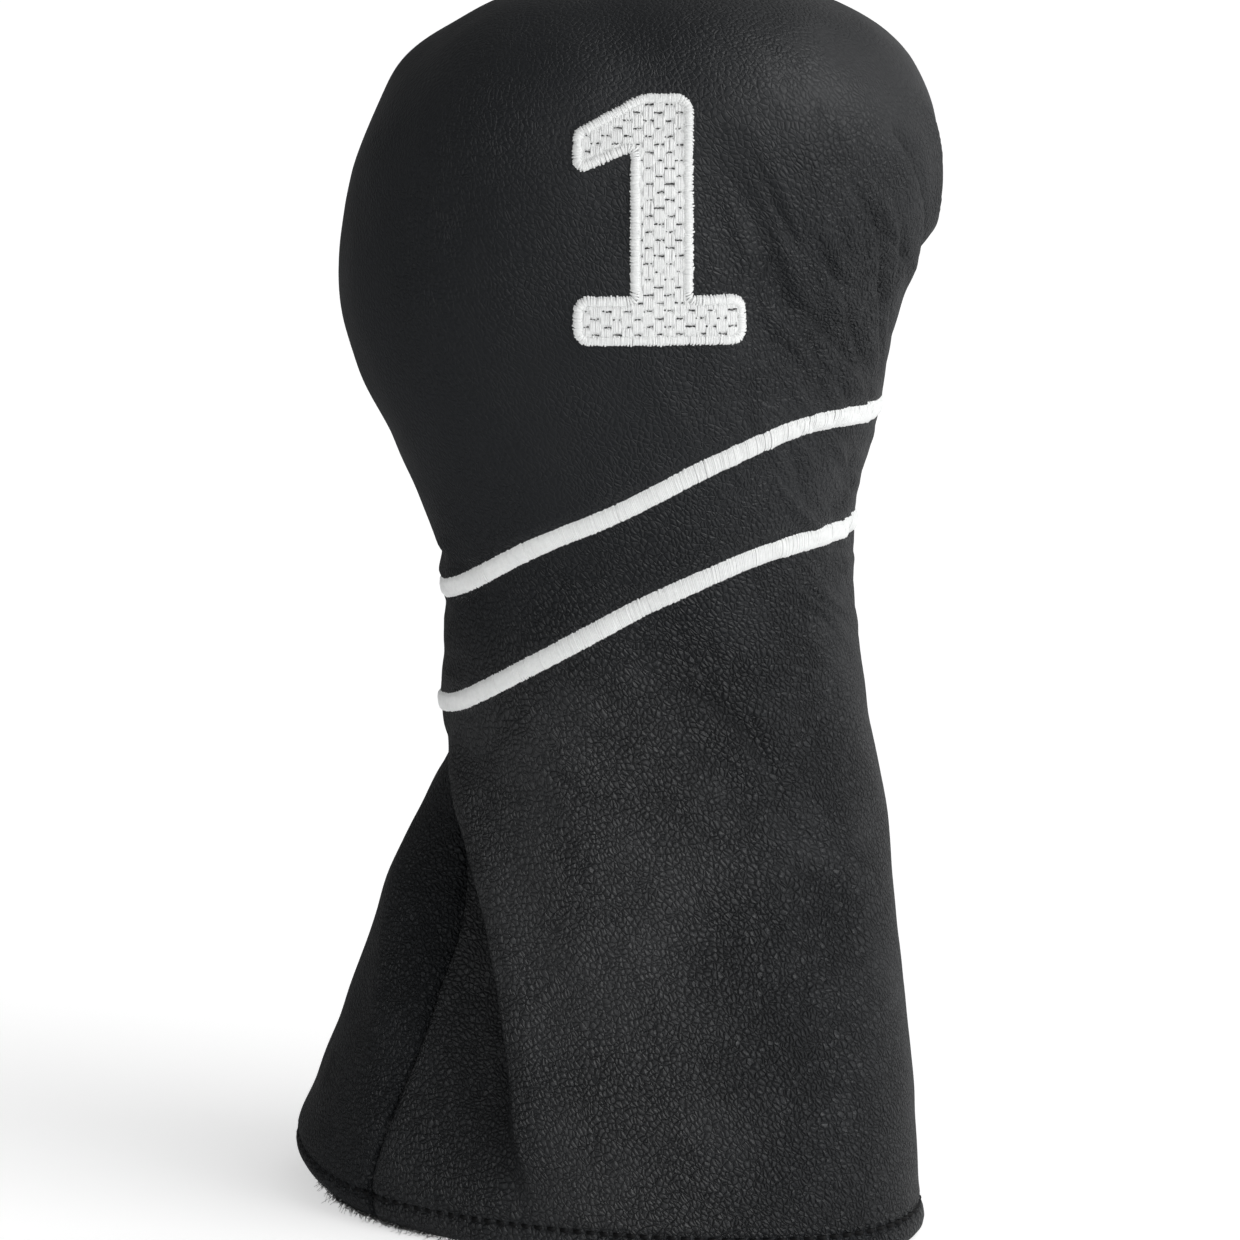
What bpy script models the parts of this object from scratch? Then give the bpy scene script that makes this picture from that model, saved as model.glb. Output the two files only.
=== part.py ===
"""A leather head cover for a golf driver: a sewn, padded, plush-lined sleeve with embroidery.

It stands on its hem, crown up. +X is to the right of the front panel, -Y is the front, +Z is up.
The origin is at the hem, under the middle of the cover. Dimensions are in millimetres, and the
meshes are made in metres.

One surface drives every piece. It is a stack of oval sections, with a pleat and gathers pressed
into it, and each layer lies at its own depth under that surface. A point of it is named by an
angle round the cover (0 is the right, 90 the back, 180 the left, 270 the front) and by a level,
which runs from 0 at the hem to TOP_LEVEL at the crown's apex.
"""

import math

import bmesh
import bpy
import numpy as np

MM = 0.001

# Section stack from the hem to the apex: height, left, right, front and back reach.
FORM = np.array(
    [
        (0, -79.5, 77, -56, 44),
        (10, -81, 77, -56, 44),
        (24, -78, 76.5, -55, 44),
        (42, -71.5, 75, -53, 43),
        (62, -63.5, 73, -50, 42),
        (82, -56, 71, -46, 40),
        (102, -47.5, 68, -42, 38),
        (117, -42, 66, -40, 36),
        (131, -42, 64, -39.5, 35),
        (148, -41.5, 62, -41, 35),
        (164, -42.5, 60.5, -44, 37),
        (180, -46.5, 61.5, -49, 41),
        (196, -53.5, 65.5, -54, 47),
        (213, -62, 69, -58, 53),
        (232, -66, 73, -61, 58),
        (252, -64.5, 80, -62, 61),
        (270, -60, 80.5, -60, 60),
        (285, -51, 75.5, -54, 54),
        (297, -37, 64, -43, 42),
        (305.5, -17, 44, -26, 24),
        (310, 12, 12, -1, -1),
    ],
    float,
)
TOP_LEVEL = len(FORM) - 1
SQUARENESS = 0.02  # half the share by which the sections' corners stand out of an ellipse

# The hem swings forward on the right and back on the left, and its left end lifts off the table.
SWAY = ((0, 0.26), (60, 0.20), (118, 0.08), (160, 0.03), (200, 0.0), (310, 0.0))
LIFT = 8.0
LEAST_LIFT = 0.004  # as a share of LIFT; under this the hem lies flat
LIFT_ANGLE = 176
LIFT_SPREAD = 34
LIFT_HEIGHT = 60

# Where the middle of the finished cover's outermost faces falls in the numbers above.
MIDDLE = (-0.5, -1.2, 0)

# Seams between the front and back panels: height and angle.
LEFT_SEAM = (
    (0, 224.5), (12, 225), (27, 226), (48, 225), (62, 222), (80, 217),
    (95, 206), (110, 191), (125, 180), (145, 173), (170, 170), (310, 170),
)
RIGHT_SEAM = ((0, 34), (40, 28), (80, 16), (120, 6), (160, 3), (310, 3))

# The pleat: the front panel folds over the left seam just under the neck.
PLEAT_CREST = (
    (0, 258), (12, 258), (27, 254), (49, 248), (69, 239), (84, 229.5),
    (98, 217), (108, 207), (117, 196), (128, 186), (160, 190), (310, 200),
)
PLEAT_DEPTH = (
    (0, 0), (20.5, 0), (32, 5), (49, 11), (69, 15.5), (86, 15.5), (103, 11), (117, 5), (130, 0), (310, 0)
)
PLEAT_SPREAD = ((0, 30), (49, 38), (86, 46), (117, 50), (310, 50))
PLEAT_WALL = 0.13  # share of the spread that the steep wall takes
COLUMNS_BEFORE_CREST = 0.34  # share of the front panel's columns that lie left of the crest

# The inner layers bridge the pleat with a wide hollow: its middle and half width, in spreads left
# of the crest, and how much deeper it is than the pleat.
HOLLOW_MIDDLE = 0.3
HOLLOW_HALF_WIDTH = 0.95
HOLLOW_DEPTH = 1.12

# Gathers: each is a crease's path (height, angle), its depth and its width along the surface.
GATHERS = (
    (((196, 30), (214, 22), (228, 14), (243, 2), (252, -15), (268, -22), (282, -27)), 4.2, 8),
    (((186, 18), (200, 12), (214, 4), (229, -8), (240, -22), (256, -31), (270, -37)), 3.6, 7),
    (((172, 158), (186, 160), (202, 156), (222, 150), (240, 146)), 2.6, 8),
    (((172, 118), (190, 116), (215, 112), (238, 110)), 2.6, 9),
    (((172, 64), (190, 62), (215, 64), (238, 66)), 2.6, 9),
    (((60, 110), (90, 112), (115, 114), (132, 116)), 2.4, 9),
    (((60, 62), (90, 60), (115, 58), (132, 58)), 2.4, 9),
)
GATHER_FADE = 14  # height over which a crease's ends die away
GATHER_RADIUS = 58  # turns the angle across a crease into a length

# Layers, as depths under the leather's outer face.
LEATHER = 1.2
GAP = 0.3
PANEL_GAP = 0.5
PADDING = (1.6, 4.3)
SLEEVE_LINING = (1.5, 5.1)
PILE = 7.0  # the plush stands this deep where nothing holds it flat
CROWN_LINING = (4.6, 9.4)
ELASTIC = (1.5, 2.5)
ELASTIC_HEIGHTS = (136, 164)
LINING_UNDER_ELASTIC = (2.9, 7.2)

# The hem: leather turned up inside, with the lining's edge held in the turn.
TURN_UP = 20
TURN_DEPTH = 6.6
BOTTOM_FLAT = (1.8, 4.8)

# Heights of the rows of faces that every layer shares, so that they lie parallel.
CROWN_ROWS = [309.98, 309, 306, 300, 291, 279, 265, 250, 234, 218, 203, 189, 176]
SLEEVE_ROWS = [164, 150, 136, 122, 108, 94, 80, 65, 49, 33, 20, 11]
HEM_ROW = SLEEVE_ROWS[-1]
LINING_END = 2.6

THREAD = 0.7
THREAD_GAP = 0.45
HEM_STITCH_HEIGHT = 7.0
ELASTIC_STITCH_HEIGHTS = (140, 160)

# Embroidery on the front: satin stripes (x, height of the centre line) and the numeral.
STRIPE_WIDTH = 4.6
STRIPE_THICKNESS = 0.8
STRIPE_STEPS = 28
STRIPE_END_GAP = 1.0
UPPER_STRIPE = ((-60, 149), (-42, 158), (-20, 172), (3, 183), (24, 194), (44, 202), (58, 204), (80, 202))
LOWER_STRIPE = ((-60, 120), (-42, 130), (-20, 143), (10, 160), (34, 170.5), (50, 174), (62, 175), (80, 174))
EMBROIDERY_GAP = 0.5
NUMERAL_AT = (12, 224)  # the foot's middle: x, height
NUMERAL_BORDER = 2.1
NUMERAL_THICKNESS = 0.8
FILL_GAP = 0.35
FILL_THICKNESS = 0.55
FILL_CUTS_Y = (7, 14, 21, 29, 36, 43, 50)
FILL_CUTS_X = (-14, -7, 0, 7, 14)
LONGEST_STEP = 7.0  # between the points of the numeral's outline


def curve(knots, at):
    """A smooth curve through (x, y) knots, read at the x values `at`."""
    x, y = np.array(knots, float).T
    slope = np.diff(y) / np.diff(x)
    tangent = np.concatenate([[slope[0]], (slope[1:] + slope[:-1]) / 2, [slope[-1]]])
    tangent[1:-1][slope[1:] * slope[:-1] <= 0] = 0
    at = np.clip(at, x[0], x[-1])
    i = np.clip(np.searchsorted(x, at, side="right") - 1, 0, len(x) - 2)
    span = x[i + 1] - x[i]
    s = (at - x[i]) / span
    return (
        (1 + 2 * s) * (1 - s) ** 2 * y[i]
        + s * (1 - s) ** 2 * span * tangent[i]
        + s * s * (3 - 2 * s) * y[i + 1]
        + s * s * (s - 1) * span * tangent[i + 1]
    )


def form(level):
    """Height, left, right, front and back reach at a level, smooth over the apex."""
    centre = FORM[-1]
    beyond = 2 * centre - FORM[-2]
    beyond[0] = FORM[-2][0]
    before = 2 * FORM[0] - FORM[1]
    rows = np.vstack([before, FORM, beyond])
    level = np.clip(level, 0, TOP_LEVEL)
    i = np.minimum(level.astype(int), TOP_LEVEL - 1)
    s = (level - i)[..., None]
    a, b, c, d = (rows[i + k] for k in range(4))
    return 0.5 * (
        2 * b + (c - a) * s + (2 * a - 5 * b + 4 * c - d) * s**2 + (3 * b - a - 3 * c + d) * s**3
    )


def level_of(height):
    """The level at which the section stack has this height."""
    levels = np.linspace(0, TOP_LEVEL, 40 * TOP_LEVEL + 1)
    return np.interp(height, form(levels)[:, 0], levels)


def degrees_apart(angle, other):
    return (angle - other + 180) % 360 - 180


def base(angle, level):
    """The oval sections, with no pleat and no gathers."""
    height, left, right, front, back = np.moveaxis(form(level), -1, 0)
    turn = np.radians(angle)
    middle, half = (left + right) / 2, (right - left) / 2
    corner = 1 + SQUARENESS * (1 - np.cos(4 * turn))
    across = half * np.cos(turn) * corner
    depth = (back - front) / 2 * np.sin(turn) * corner
    along = (front + back) / 2 + depth - curve(SWAY, height) * across
    share = np.exp(-((degrees_apart(angle, LIFT_ANGLE) / LIFT_SPREAD) ** 2))
    lift = LIFT * np.where(share < LEAST_LIFT, 0, share) * np.clip(1 - height / LIFT_HEIGHT, 0, 1) ** 2
    return np.stack([middle + across, along, height + lift], -1)


def outward(surface, angle, level):
    """Unit normals of a surface, by differences."""
    turn, step = 0.4, 0.02
    round_it = surface(angle + turn, level) - surface(angle - turn, level)
    up = surface(angle, np.minimum(level + step, TOP_LEVEL)) - surface(angle, level - step)
    normal = np.cross(round_it, up)
    length = np.linalg.norm(normal, axis=-1, keepdims=True)
    return np.where(length > 1e-9, normal / np.maximum(length, 1e-12), (0.0, 0.0, 1.0))


def pleat(angle, height):
    """How far the pleat's valley is pressed in, left of its crest."""
    s = degrees_apart(curve(PLEAT_CREST, height), angle) / curve(PLEAT_SPREAD, height)
    wall = np.clip(s / PLEAT_WALL, 0, 1)
    rise = np.clip((s - PLEAT_WALL) / (1 - PLEAT_WALL), 0, 1)
    shape = wall * wall * (3 - 2 * wall) * (1 - rise * rise * (3 - 2 * rise))
    return curve(PLEAT_DEPTH, height) * shape


def gathers(angle, height):
    """How far the creases are pressed in."""
    total = np.zeros(np.broadcast(angle, height).shape)
    for path, depth, width in GATHERS:
        first, last = path[0][0], path[-1][0]
        fade = np.clip(np.minimum(height - first, last - height) / GATHER_FADE, 0, 1)
        away = np.radians(degrees_apart(angle, curve(path, height))) * GATHER_RADIUS / width
        total = total + depth * fade * np.exp(-(np.abs(away) ** 1.5))
    return total


def pleated(angle, level):
    """The oval sections with only the pleat pressed in."""
    flat = base(angle, level)
    return flat - outward(base, angle, level) * pleat(angle, flat[..., 2])[..., None]


def leather(angle, level):
    """The leather's outer face."""
    flat = base(angle, level)
    pressed = pleat(angle, flat[..., 2]) + gathers(angle, flat[..., 2])
    return flat - outward(base, angle, level) * pressed[..., None]


def lining_face(angle, level):
    """A calm surface inside the leather, which the inner layers follow."""
    flat = base(angle, level)
    height = flat[..., 2]
    spread = curve(PLEAT_SPREAD, height)
    middle = curve(PLEAT_CREST, height) - HOLLOW_MIDDLE * spread
    away = degrees_apart(angle, middle) / (HOLLOW_HALF_WIDTH * spread)
    hollow = HOLLOW_DEPTH * curve(PLEAT_DEPTH, height) * np.exp(-1.2 * away**4)
    pressed = hollow + gathers(angle, height)
    return flat - outward(base, angle, level) * pressed[..., None]


# A layer's surface, with the one whose normals its depth is measured along.
HIDE = (leather, pleated)
INNER = (lining_face, base)


def at_depth(face, angle, level, depth):
    """Points that lie under a surface by a depth, or above it by a negative one. Near the hem the
    depth is measured level, so that the turned leather keeps its height."""
    surface, normals_of = face
    normal = outward(normals_of, angle, level)
    normal[..., 2] *= np.clip((form(level)[..., 0] - TURN_UP) / 25, 0, 1)
    normal /= np.linalg.norm(normal, axis=-1, keepdims=True)
    return surface(angle, level) - normal * np.asarray(depth)[..., None]


def edge_angles(level, half_gap, front):
    """First and last angle of a panel, half_gap short of each seam, for each level."""
    height = form(level)[:, 0]
    left, right = curve(LEFT_SEAM, height), curve(RIGHT_SEAM, height)
    start, end = (left, right + 360) if front else (right, left)
    ends = []
    for angle, way in ((start, 1), (end, -1)):
        per_degree = np.linalg.norm(base(angle + 0.5, level) - base(angle - 0.5, level), axis=-1)
        radius = np.maximum(np.degrees(per_degree), 1e-6)
        ends.append(angle + way * np.degrees(np.arcsin(np.minimum(1, half_gap / radius))))
    return ends


def panel_angles(level, columns, half_gap, front):
    """Angles of a panel's columns at each level. On the front, one follows the pleat's crest."""
    start, end = edge_angles(level, half_gap, front)
    s = np.linspace(0, 1, columns)
    if not front:
        return start[:, None] + (end - start)[:, None] * s
    height = form(level)[:, 0]
    crest = np.clip(curve(PLEAT_CREST, height), start + 0.02 * (end - start), end)
    share = round(COLUMNS_BEFORE_CREST * (columns - 1)) / (columns - 1)
    left = start[:, None] + (crest - start)[:, None] * np.minimum(s / share, 1)
    return left + (end - crest)[:, None] * np.maximum((s - share) / (1 - share), 0)


def mesh_object(name, vertices, faces, material):
    """A mesh object from points in millimetres. Points that coincide are made one."""
    mesh = bpy.data.meshes.new(name)
    mesh.from_pydata(((np.asarray(vertices) - MIDDLE) * MM).tolist(), [], faces)
    shape = bmesh.new()
    shape.from_mesh(mesh)
    bmesh.ops.remove_doubles(shape, verts=shape.verts, dist=0.004 * MM)
    if shape.calc_volume(signed=True) < 0:
        bmesh.ops.reverse_faces(shape, faces=shape.faces)
    shape.to_mesh(mesh)
    shape.free()
    mesh.materials.append(material)
    mesh.shade_smooth()
    mesh.set_sharp_from_angle(angle=math.radians(50))
    obj = bpy.data.objects.new(name, mesh)
    bpy.context.scene.collection.objects.link(obj)
    return obj


def thick_sheet(name, outside, inside, material):
    """A closed sheet between two grids of points of the same size."""
    rows, columns = outside.shape[:2]
    count = rows * columns
    cell = np.arange(count).reshape(rows, columns)
    quads = np.stack([cell[:-1, :-1], cell[:-1, 1:], cell[1:, 1:], cell[1:, :-1]], -1).reshape(-1, 4)
    rim = np.concatenate([cell[0, :-1], cell[:-1, -1], cell[-1, :0:-1], cell[:0:-1, 0]])
    after = np.roll(rim, -1)
    sides = np.stack([after, rim, rim + count, after + count], -1)
    inner = quads[:, [0, 3, 2, 1]] + count  # cut along the same diagonals as the outer quads
    faces = np.concatenate([quads, inner, sides]).tolist()
    vertices = np.concatenate([outside.reshape(-1, 3), inside.reshape(-1, 3)])
    return mesh_object(name, vertices, faces, material)


def panel_grid(heights, columns, front, half_gap):
    """The angles and levels of a panel's points, a row for each height."""
    level = level_of(np.array(heights, float))
    angle = panel_angles(level, columns, half_gap, front)
    return angle, level[:, None] + 0 * angle


def leather_panel(name, columns, front, material):
    """A leather panel from the apex to the hem, round the turn and up inside to TURN_UP."""
    first, last = BOTTOM_FLAT
    turned = (  # outer and inner skin of the turn: height and depth of each
        (3.5, 0.0, 3.5, LEATHER),
        (0.9, 0.35, 1.9, LEATHER + 0.1),
        (0.0, first, LEATHER, first + 0.4),
        (0.0, last, LEATHER, last - 0.4),
        (0.9, TURN_DEPTH - 0.4, 1.9, TURN_DEPTH - LEATHER - 0.1),
        (3.5, TURN_DEPTH, 3.5, TURN_DEPTH - LEATHER),
        (HEM_ROW, TURN_DEPTH, HEM_ROW, TURN_DEPTH - LEATHER),
        (TURN_UP, TURN_DEPTH, TURN_UP, TURN_DEPTH - LEATHER),
    )
    skins = []
    for skin in (0, 1):
        heights = CROWN_ROWS + SLEEVE_ROWS + [row[2 * skin] for row in turned]
        depths = [LEATHER * skin] * len(CROWN_ROWS + SLEEVE_ROWS) + [row[2 * skin + 1] for row in turned]
        angle, level = panel_grid(heights, columns, front, PANEL_GAP / 2)
        skins.append(at_depth(HIDE, angle, level, np.array(depths)[:, None] + 0 * angle))
    return thick_sheet(name, *skins, material)


def layer(name, heights, columns, front, depths, half_gap, material):
    """A padding or lining panel. depths(height) gives its outer and inner depth."""
    angle, level = panel_grid(heights, columns, front, half_gap)
    skins = [
        at_depth(INNER, angle, level, np.array([depths(h)[k] for h in heights])[:, None] + 0 * angle)
        for k in (0, 1)
    ]
    return thick_sheet(name, *skins, material)


def lining_depths(height):
    """The lining runs in the turned hem, then stands deep in the sleeve, lies flat under the elastic
    and passes under the padding."""
    knots = (
        (0, SLEEVE_LINING), (TURN_UP, SLEEVE_LINING), (33, (SLEEVE_LINING[0], PILE)),
        (122, (SLEEVE_LINING[0], PILE)), (136, LINING_UNDER_ELASTIC), (164, LINING_UNDER_ELASTIC),
        (176, CROWN_LINING), (310, CROWN_LINING),
    )
    at = [h for h, _ in knots]
    return tuple(float(np.interp(height, at, [depths[k] for _, depths in knots])) for k in (0, 1))


def tube(name, path, normals, width, material, closed=False):
    """A thread of square section along a path of points, with flat ends or closed on itself."""
    path, normals = np.asarray(path), np.asarray(normals)
    if closed:
        ahead, behind = np.roll(path, -1, 0), np.roll(path, 1, 0)
    else:
        ahead, behind = np.vstack([path[1:], path[-1:]]), np.vstack([path[:1], path[:-1]])
    forward = ahead - behind
    forward /= np.linalg.norm(forward, axis=1, keepdims=True)
    side = np.cross(forward, normals)
    side /= np.linalg.norm(side, axis=1, keepdims=True)
    out = np.cross(side, forward)
    sides = 4
    rings = []
    for k in range(sides):
        turn = 2 * math.pi * k / sides
        rings.append(path + width / 2 * (math.cos(turn) * side + math.sin(turn) * out))
    rings = np.stack(rings, 1)
    count = len(path)
    faces = []
    for i in range(count if closed else count - 1):
        for k in range(sides):
            a, b = i * sides + k, i * sides + (k + 1) % sides
            c, d = ((i + 1) % count) * sides + (k + 1) % sides, ((i + 1) % count) * sides + k
            faces.append((a, b, c, d))
    if not closed:
        faces.append(tuple(reversed(range(sides))))
        faces.append(tuple((count - 1) * sides + k for k in range(sides)))
    return mesh_object(name, rings.reshape(-1, 3), faces, material)


def surface_thread(name, angles, heights, depth, material, closed=False):
    """A thread that follows the leather at a depth, at each angle and height."""
    angle = np.array(angles, float)
    level = level_of(np.array(heights, float) + 0 * angle)
    path = at_depth(HIDE, angle, level, depth + 0 * angle)
    return tube(name, path, outward(leather, angle, level), THREAD, material, closed)


def front_angle(x, level):
    """The angle of the front face's point that has this x."""
    angles = np.linspace(175, 365, 761)
    found = []
    for one_x, one_level in zip(np.atleast_1d(x), np.atleast_1d(level)):
        across = base(angles, one_level + 0 * angles)[:, 0]
        found.append(np.interp(one_x, across, angles))
    return np.array(found)


def stripe(name, centre, material):
    """A satin stripe across the front panel, from seam to seam."""
    s = np.linspace(0, 1, STRIPE_STEPS)
    heights = curve(centre, 0 * s)
    for _ in range(6):  # each pass reads the line's height where the last one put its points
        level = level_of(heights)
        start, end = edge_angles(level, STRIPE_END_GAP, True)
        angle = start + (end - start) * s
        heights = curve(centre, base(angle, level)[:, 0])
    rows = []
    for offset, depth in ((-1, 0), (-0.55, 1), (0.55, 1), (1, 0)):
        edge = level_of(heights + offset * STRIPE_WIDTH / 2)
        rows.append((edge, angle, EMBROIDERY_GAP + STRIPE_THICKNESS * depth))
    outside = np.stack([at_depth(HIDE, a, e, -d + 0 * a) for e, a, d in rows])
    under = [at_depth(HIDE, a, e, -EMBROIDERY_GAP + 0.08 + 0 * a) for e, a, _ in rows]
    return thick_sheet(name, outside, np.stack(under), material)


def rounded(corners, radii, steps=3):
    """An outline with its corners rounded by arcs."""
    points = []
    for i, (corner, radius) in enumerate(zip(corners, radii)):
        corner = np.array(corner, float)
        before = np.array(corners[i - 1], float) - corner
        after = np.array(corners[(i + 1) % len(corners)], float) - corner
        before /= np.linalg.norm(before)
        after /= np.linalg.norm(after)
        half = math.acos(np.clip(before @ after, -1, 1)) / 2
        reach = radius / math.tan(half)
        centre = corner + (before + after) / np.linalg.norm(before + after) * radius / math.sin(half)
        first, last = corner + before * reach - centre, corner + after * reach - centre
        for k in range(steps + 1):
            s = k / steps
            arm = first * (1 - s) + last * s
            points.append(centre + arm / np.linalg.norm(arm) * radius)
    path = []
    for point, following in zip(points, points[1:] + points[:1]):
        pieces = math.ceil(np.linalg.norm(following - point) / LONGEST_STEP)
        path += [point + (following - point) * k / pieces for k in range(pieces)]
    return np.array(path)


def inset(outline, distance):
    """A closed outline moved inwards (it runs anticlockwise)."""
    along = np.roll(outline, -1, 0) - np.roll(outline, 1, 0)
    along /= np.linalg.norm(along, axis=1, keepdims=True)
    return outline + distance * np.stack([-along[:, 1], along[:, 0]], 1)


def numeral_outline():
    """The figure 1 with a flag and a slab foot, anticlockwise from the foot's lower left, in mm."""
    corners = (
        (-20, 0), (20, 0), (20, 11.2), (7.4, 11.2), (7.4, 58), (-4.5, 58),
        (-20.2, 49.2), (-20.2, 39.2), (-6.8, 45), (-6.8, 11.2), (-20, 11.2),
    )
    radii = (3.4, 3.4, 3.4, 0.6, 4.4, 5, 2.8, 2.2, 0.6, 0.6, 3.4)
    return rounded(corners, radii)


def on_front(points, depth):
    """Flat (x, y) points of the numeral, laid on the leather's front at a depth."""
    x0, foot = NUMERAL_AT
    level = level_of(foot + points[:, 1])
    angle = front_angle(x0 + points[:, 0], level)
    return at_depth(HIDE, angle, level, depth + 0 * angle)


def numeral_border(name, material):
    """The satin cord round the numeral: a ring whose section is a low arch."""
    outline = numeral_outline()
    width = NUMERAL_BORDER
    arch = ((0, 0.1), (0.24 * width, 1.0), (0.76 * width, 1.0), (width, 0.1), (width, 0), (0, 0))
    rings = []
    for inward, rise in arch:
        depth = -(EMBROIDERY_GAP + NUMERAL_THICKNESS * rise)
        rings.append(on_front(inset(outline, inward), depth))
    rings = np.stack(rings, 1)
    count, sides = rings.shape[:2]
    faces = []
    for i in range(count):
        for k in range(sides):
            following = (i + 1) % count
            faces.append((i * sides + k, following * sides + k,
                          following * sides + (k + 1) % sides, i * sides + (k + 1) % sides))
    return mesh_object(name, rings.reshape(-1, 3), faces, material)


def numeral_fill(name, material):
    """The woven field inside the border: its flat outline cut into strips and laid on the front."""
    shape = bmesh.new()
    outline = inset(numeral_outline(), NUMERAL_BORDER + FILL_GAP)
    shape.faces.new([shape.verts.new((x, y, 0)) for x, y in outline])
    cuts = [((0, y, 0), (0, 1, 0)) for y in FILL_CUTS_Y] + [((x, 0, 0), (1, 0, 0)) for x in FILL_CUTS_X]
    for place, normal in cuts:
        everything = shape.verts[:] + shape.edges[:] + shape.faces[:]
        bmesh.ops.bisect_plane(shape, geom=everything, plane_co=place, plane_no=normal, dist=1e-4)
    bmesh.ops.triangulate(shape, faces=shape.faces)
    shape.verts.index_update()
    flat = np.array([v.co.xy for v in shape.verts])
    triangles = np.array([[v.index for v in face.verts] for face in shape.faces])
    loops = [edge.link_loops[0] for edge in shape.edges if edge.is_boundary]
    rim = np.array([(loop.vert.index, loop.link_loop_next.vert.index) for loop in loops])
    shape.free()

    count = len(flat)
    top = on_front(flat, -(EMBROIDERY_GAP + FILL_THICKNESS))
    under = on_front(flat, -EMBROIDERY_GAP)
    sides = np.column_stack([rim[:, ::-1], rim + count])
    faces = triangles.tolist() + (triangles[:, ::-1] + count).tolist() + sides.tolist()
    return mesh_object(name, np.concatenate([top, under]), faces, material)


def closing_seam(name, material):
    """The thread that joins the two panels, up the left seam, over the crown and down the right."""
    heights = [h for h in reversed(CROWN_ROWS + SLEEVE_ROWS) if h > TURN_UP]
    left = [(curve(LEFT_SEAM, h), h) for h in heights]
    right = [(curve(RIGHT_SEAM, h), h) for h in reversed(heights)]
    angle, height = np.array(left + right).T
    level = level_of(height)
    depth = LEATHER + GAP + THREAD / 2
    path = at_depth(INNER, angle, level, depth + 0 * angle)
    return tube(name, path, outward(base, angle, level), THREAD, material)


def material(name, colour, roughness):
    made = bpy.data.materials.new(name)
    made.use_nodes = True
    shader = made.node_tree.nodes["Principled BSDF"]
    shader.inputs["Base Color"].default_value = (*colour, 1)
    shader.inputs["Roughness"].default_value = roughness
    shader.inputs["Metallic"].default_value = 0
    return made


def main():
    for obj in list(bpy.data.objects):
        bpy.data.objects.remove(obj, do_unlink=True)
    hide = material("black_leather", (0.018, 0.019, 0.021), 0.5)
    white_thread = material("white_thread", (0.85, 0.86, 0.86), 0.45)
    black_thread = material("black_thread", (0.01, 0.01, 0.01), 0.6)
    plush = material("grey_plush", (0.62, 0.62, 0.60), 0.95)
    foam = material("foam", (0.25, 0.25, 0.26), 0.9)
    elastic = material("elastic", (0.70, 0.70, 0.68), 0.8)

    seam_room = THREAD / 2 + 2 * GAP
    for side, front, columns in (("front", True, 21), ("back", False, 15)):
        leather_panel(f"{side}_panel", columns, front, hide)
        layer(f"{side}_padding", CROWN_ROWS, columns, front, lambda h: PADDING, seam_room, foam)
        rows = CROWN_ROWS + SLEEVE_ROWS + [LINING_END]
        layer(f"{side}_lining", rows, columns, front, lining_depths, seam_room, plush)

    band = [h for h in SLEEVE_ROWS if ELASTIC_HEIGHTS[0] <= h <= ELASTIC_HEIGHTS[1]]
    layer("neck_elastic", band, 15, False, lambda h: ELASTIC, seam_room + 0.6, elastic)

    closing_seam("closing_seam_thread", black_thread)
    out = -(THREAD_GAP + THREAD / 2)
    surface_thread("hem_topstitch", np.arange(0, 360, 5.0), HEM_STITCH_HEIGHT, out, black_thread, True)
    for end, height in zip(("lower", "upper"), ELASTIC_STITCH_HEIGHTS):
        start, stop = (float(e[0]) for e in edge_angles(level_of(np.array([float(height)])), 3.0, False))
        surface_thread(f"elastic_stitch_{end}", np.linspace(start, stop, 17), height, out, black_thread)

    stripe("upper_stripe", UPPER_STRIPE, white_thread)
    stripe("lower_stripe", LOWER_STRIPE, white_thread)
    numeral_border("numeral_border", white_thread)
    numeral_fill("numeral_fill", white_thread)


main()
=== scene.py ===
"""The looks of a leather driver head cover: hide, embroidery, stitching, plush and studio.

The cover's surface is the same stack of oval sections as the frame's, in millimetres. A point of
it is named by an angle round the cover (0 right, 90 back, 180 left, 270 front) and a level (0 at
the hem, TOP_LEVEL at the apex). Relief, such as the pleat, creases and wrinkles, is pressed in
along the surface's normals, and each layer lies at its own depth under that.
"""

import math

import bpy
import numpy as np
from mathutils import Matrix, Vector


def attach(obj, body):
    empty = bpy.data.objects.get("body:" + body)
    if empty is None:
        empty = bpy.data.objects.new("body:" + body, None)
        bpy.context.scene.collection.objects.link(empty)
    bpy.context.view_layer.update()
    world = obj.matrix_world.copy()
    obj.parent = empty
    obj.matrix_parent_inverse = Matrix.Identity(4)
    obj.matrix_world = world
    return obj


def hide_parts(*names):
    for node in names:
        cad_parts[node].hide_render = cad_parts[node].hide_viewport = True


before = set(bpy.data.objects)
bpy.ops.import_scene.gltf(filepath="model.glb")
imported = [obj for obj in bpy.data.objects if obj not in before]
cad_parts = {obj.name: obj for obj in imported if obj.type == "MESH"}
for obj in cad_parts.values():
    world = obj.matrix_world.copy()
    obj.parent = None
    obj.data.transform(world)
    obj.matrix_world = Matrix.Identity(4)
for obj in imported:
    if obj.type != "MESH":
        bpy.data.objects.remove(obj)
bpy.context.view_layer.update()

MM = 0.001
MIDDLE = np.array((-0.5, -1.2, 0))  # the frame's origin, in the sections' millimetres

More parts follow.
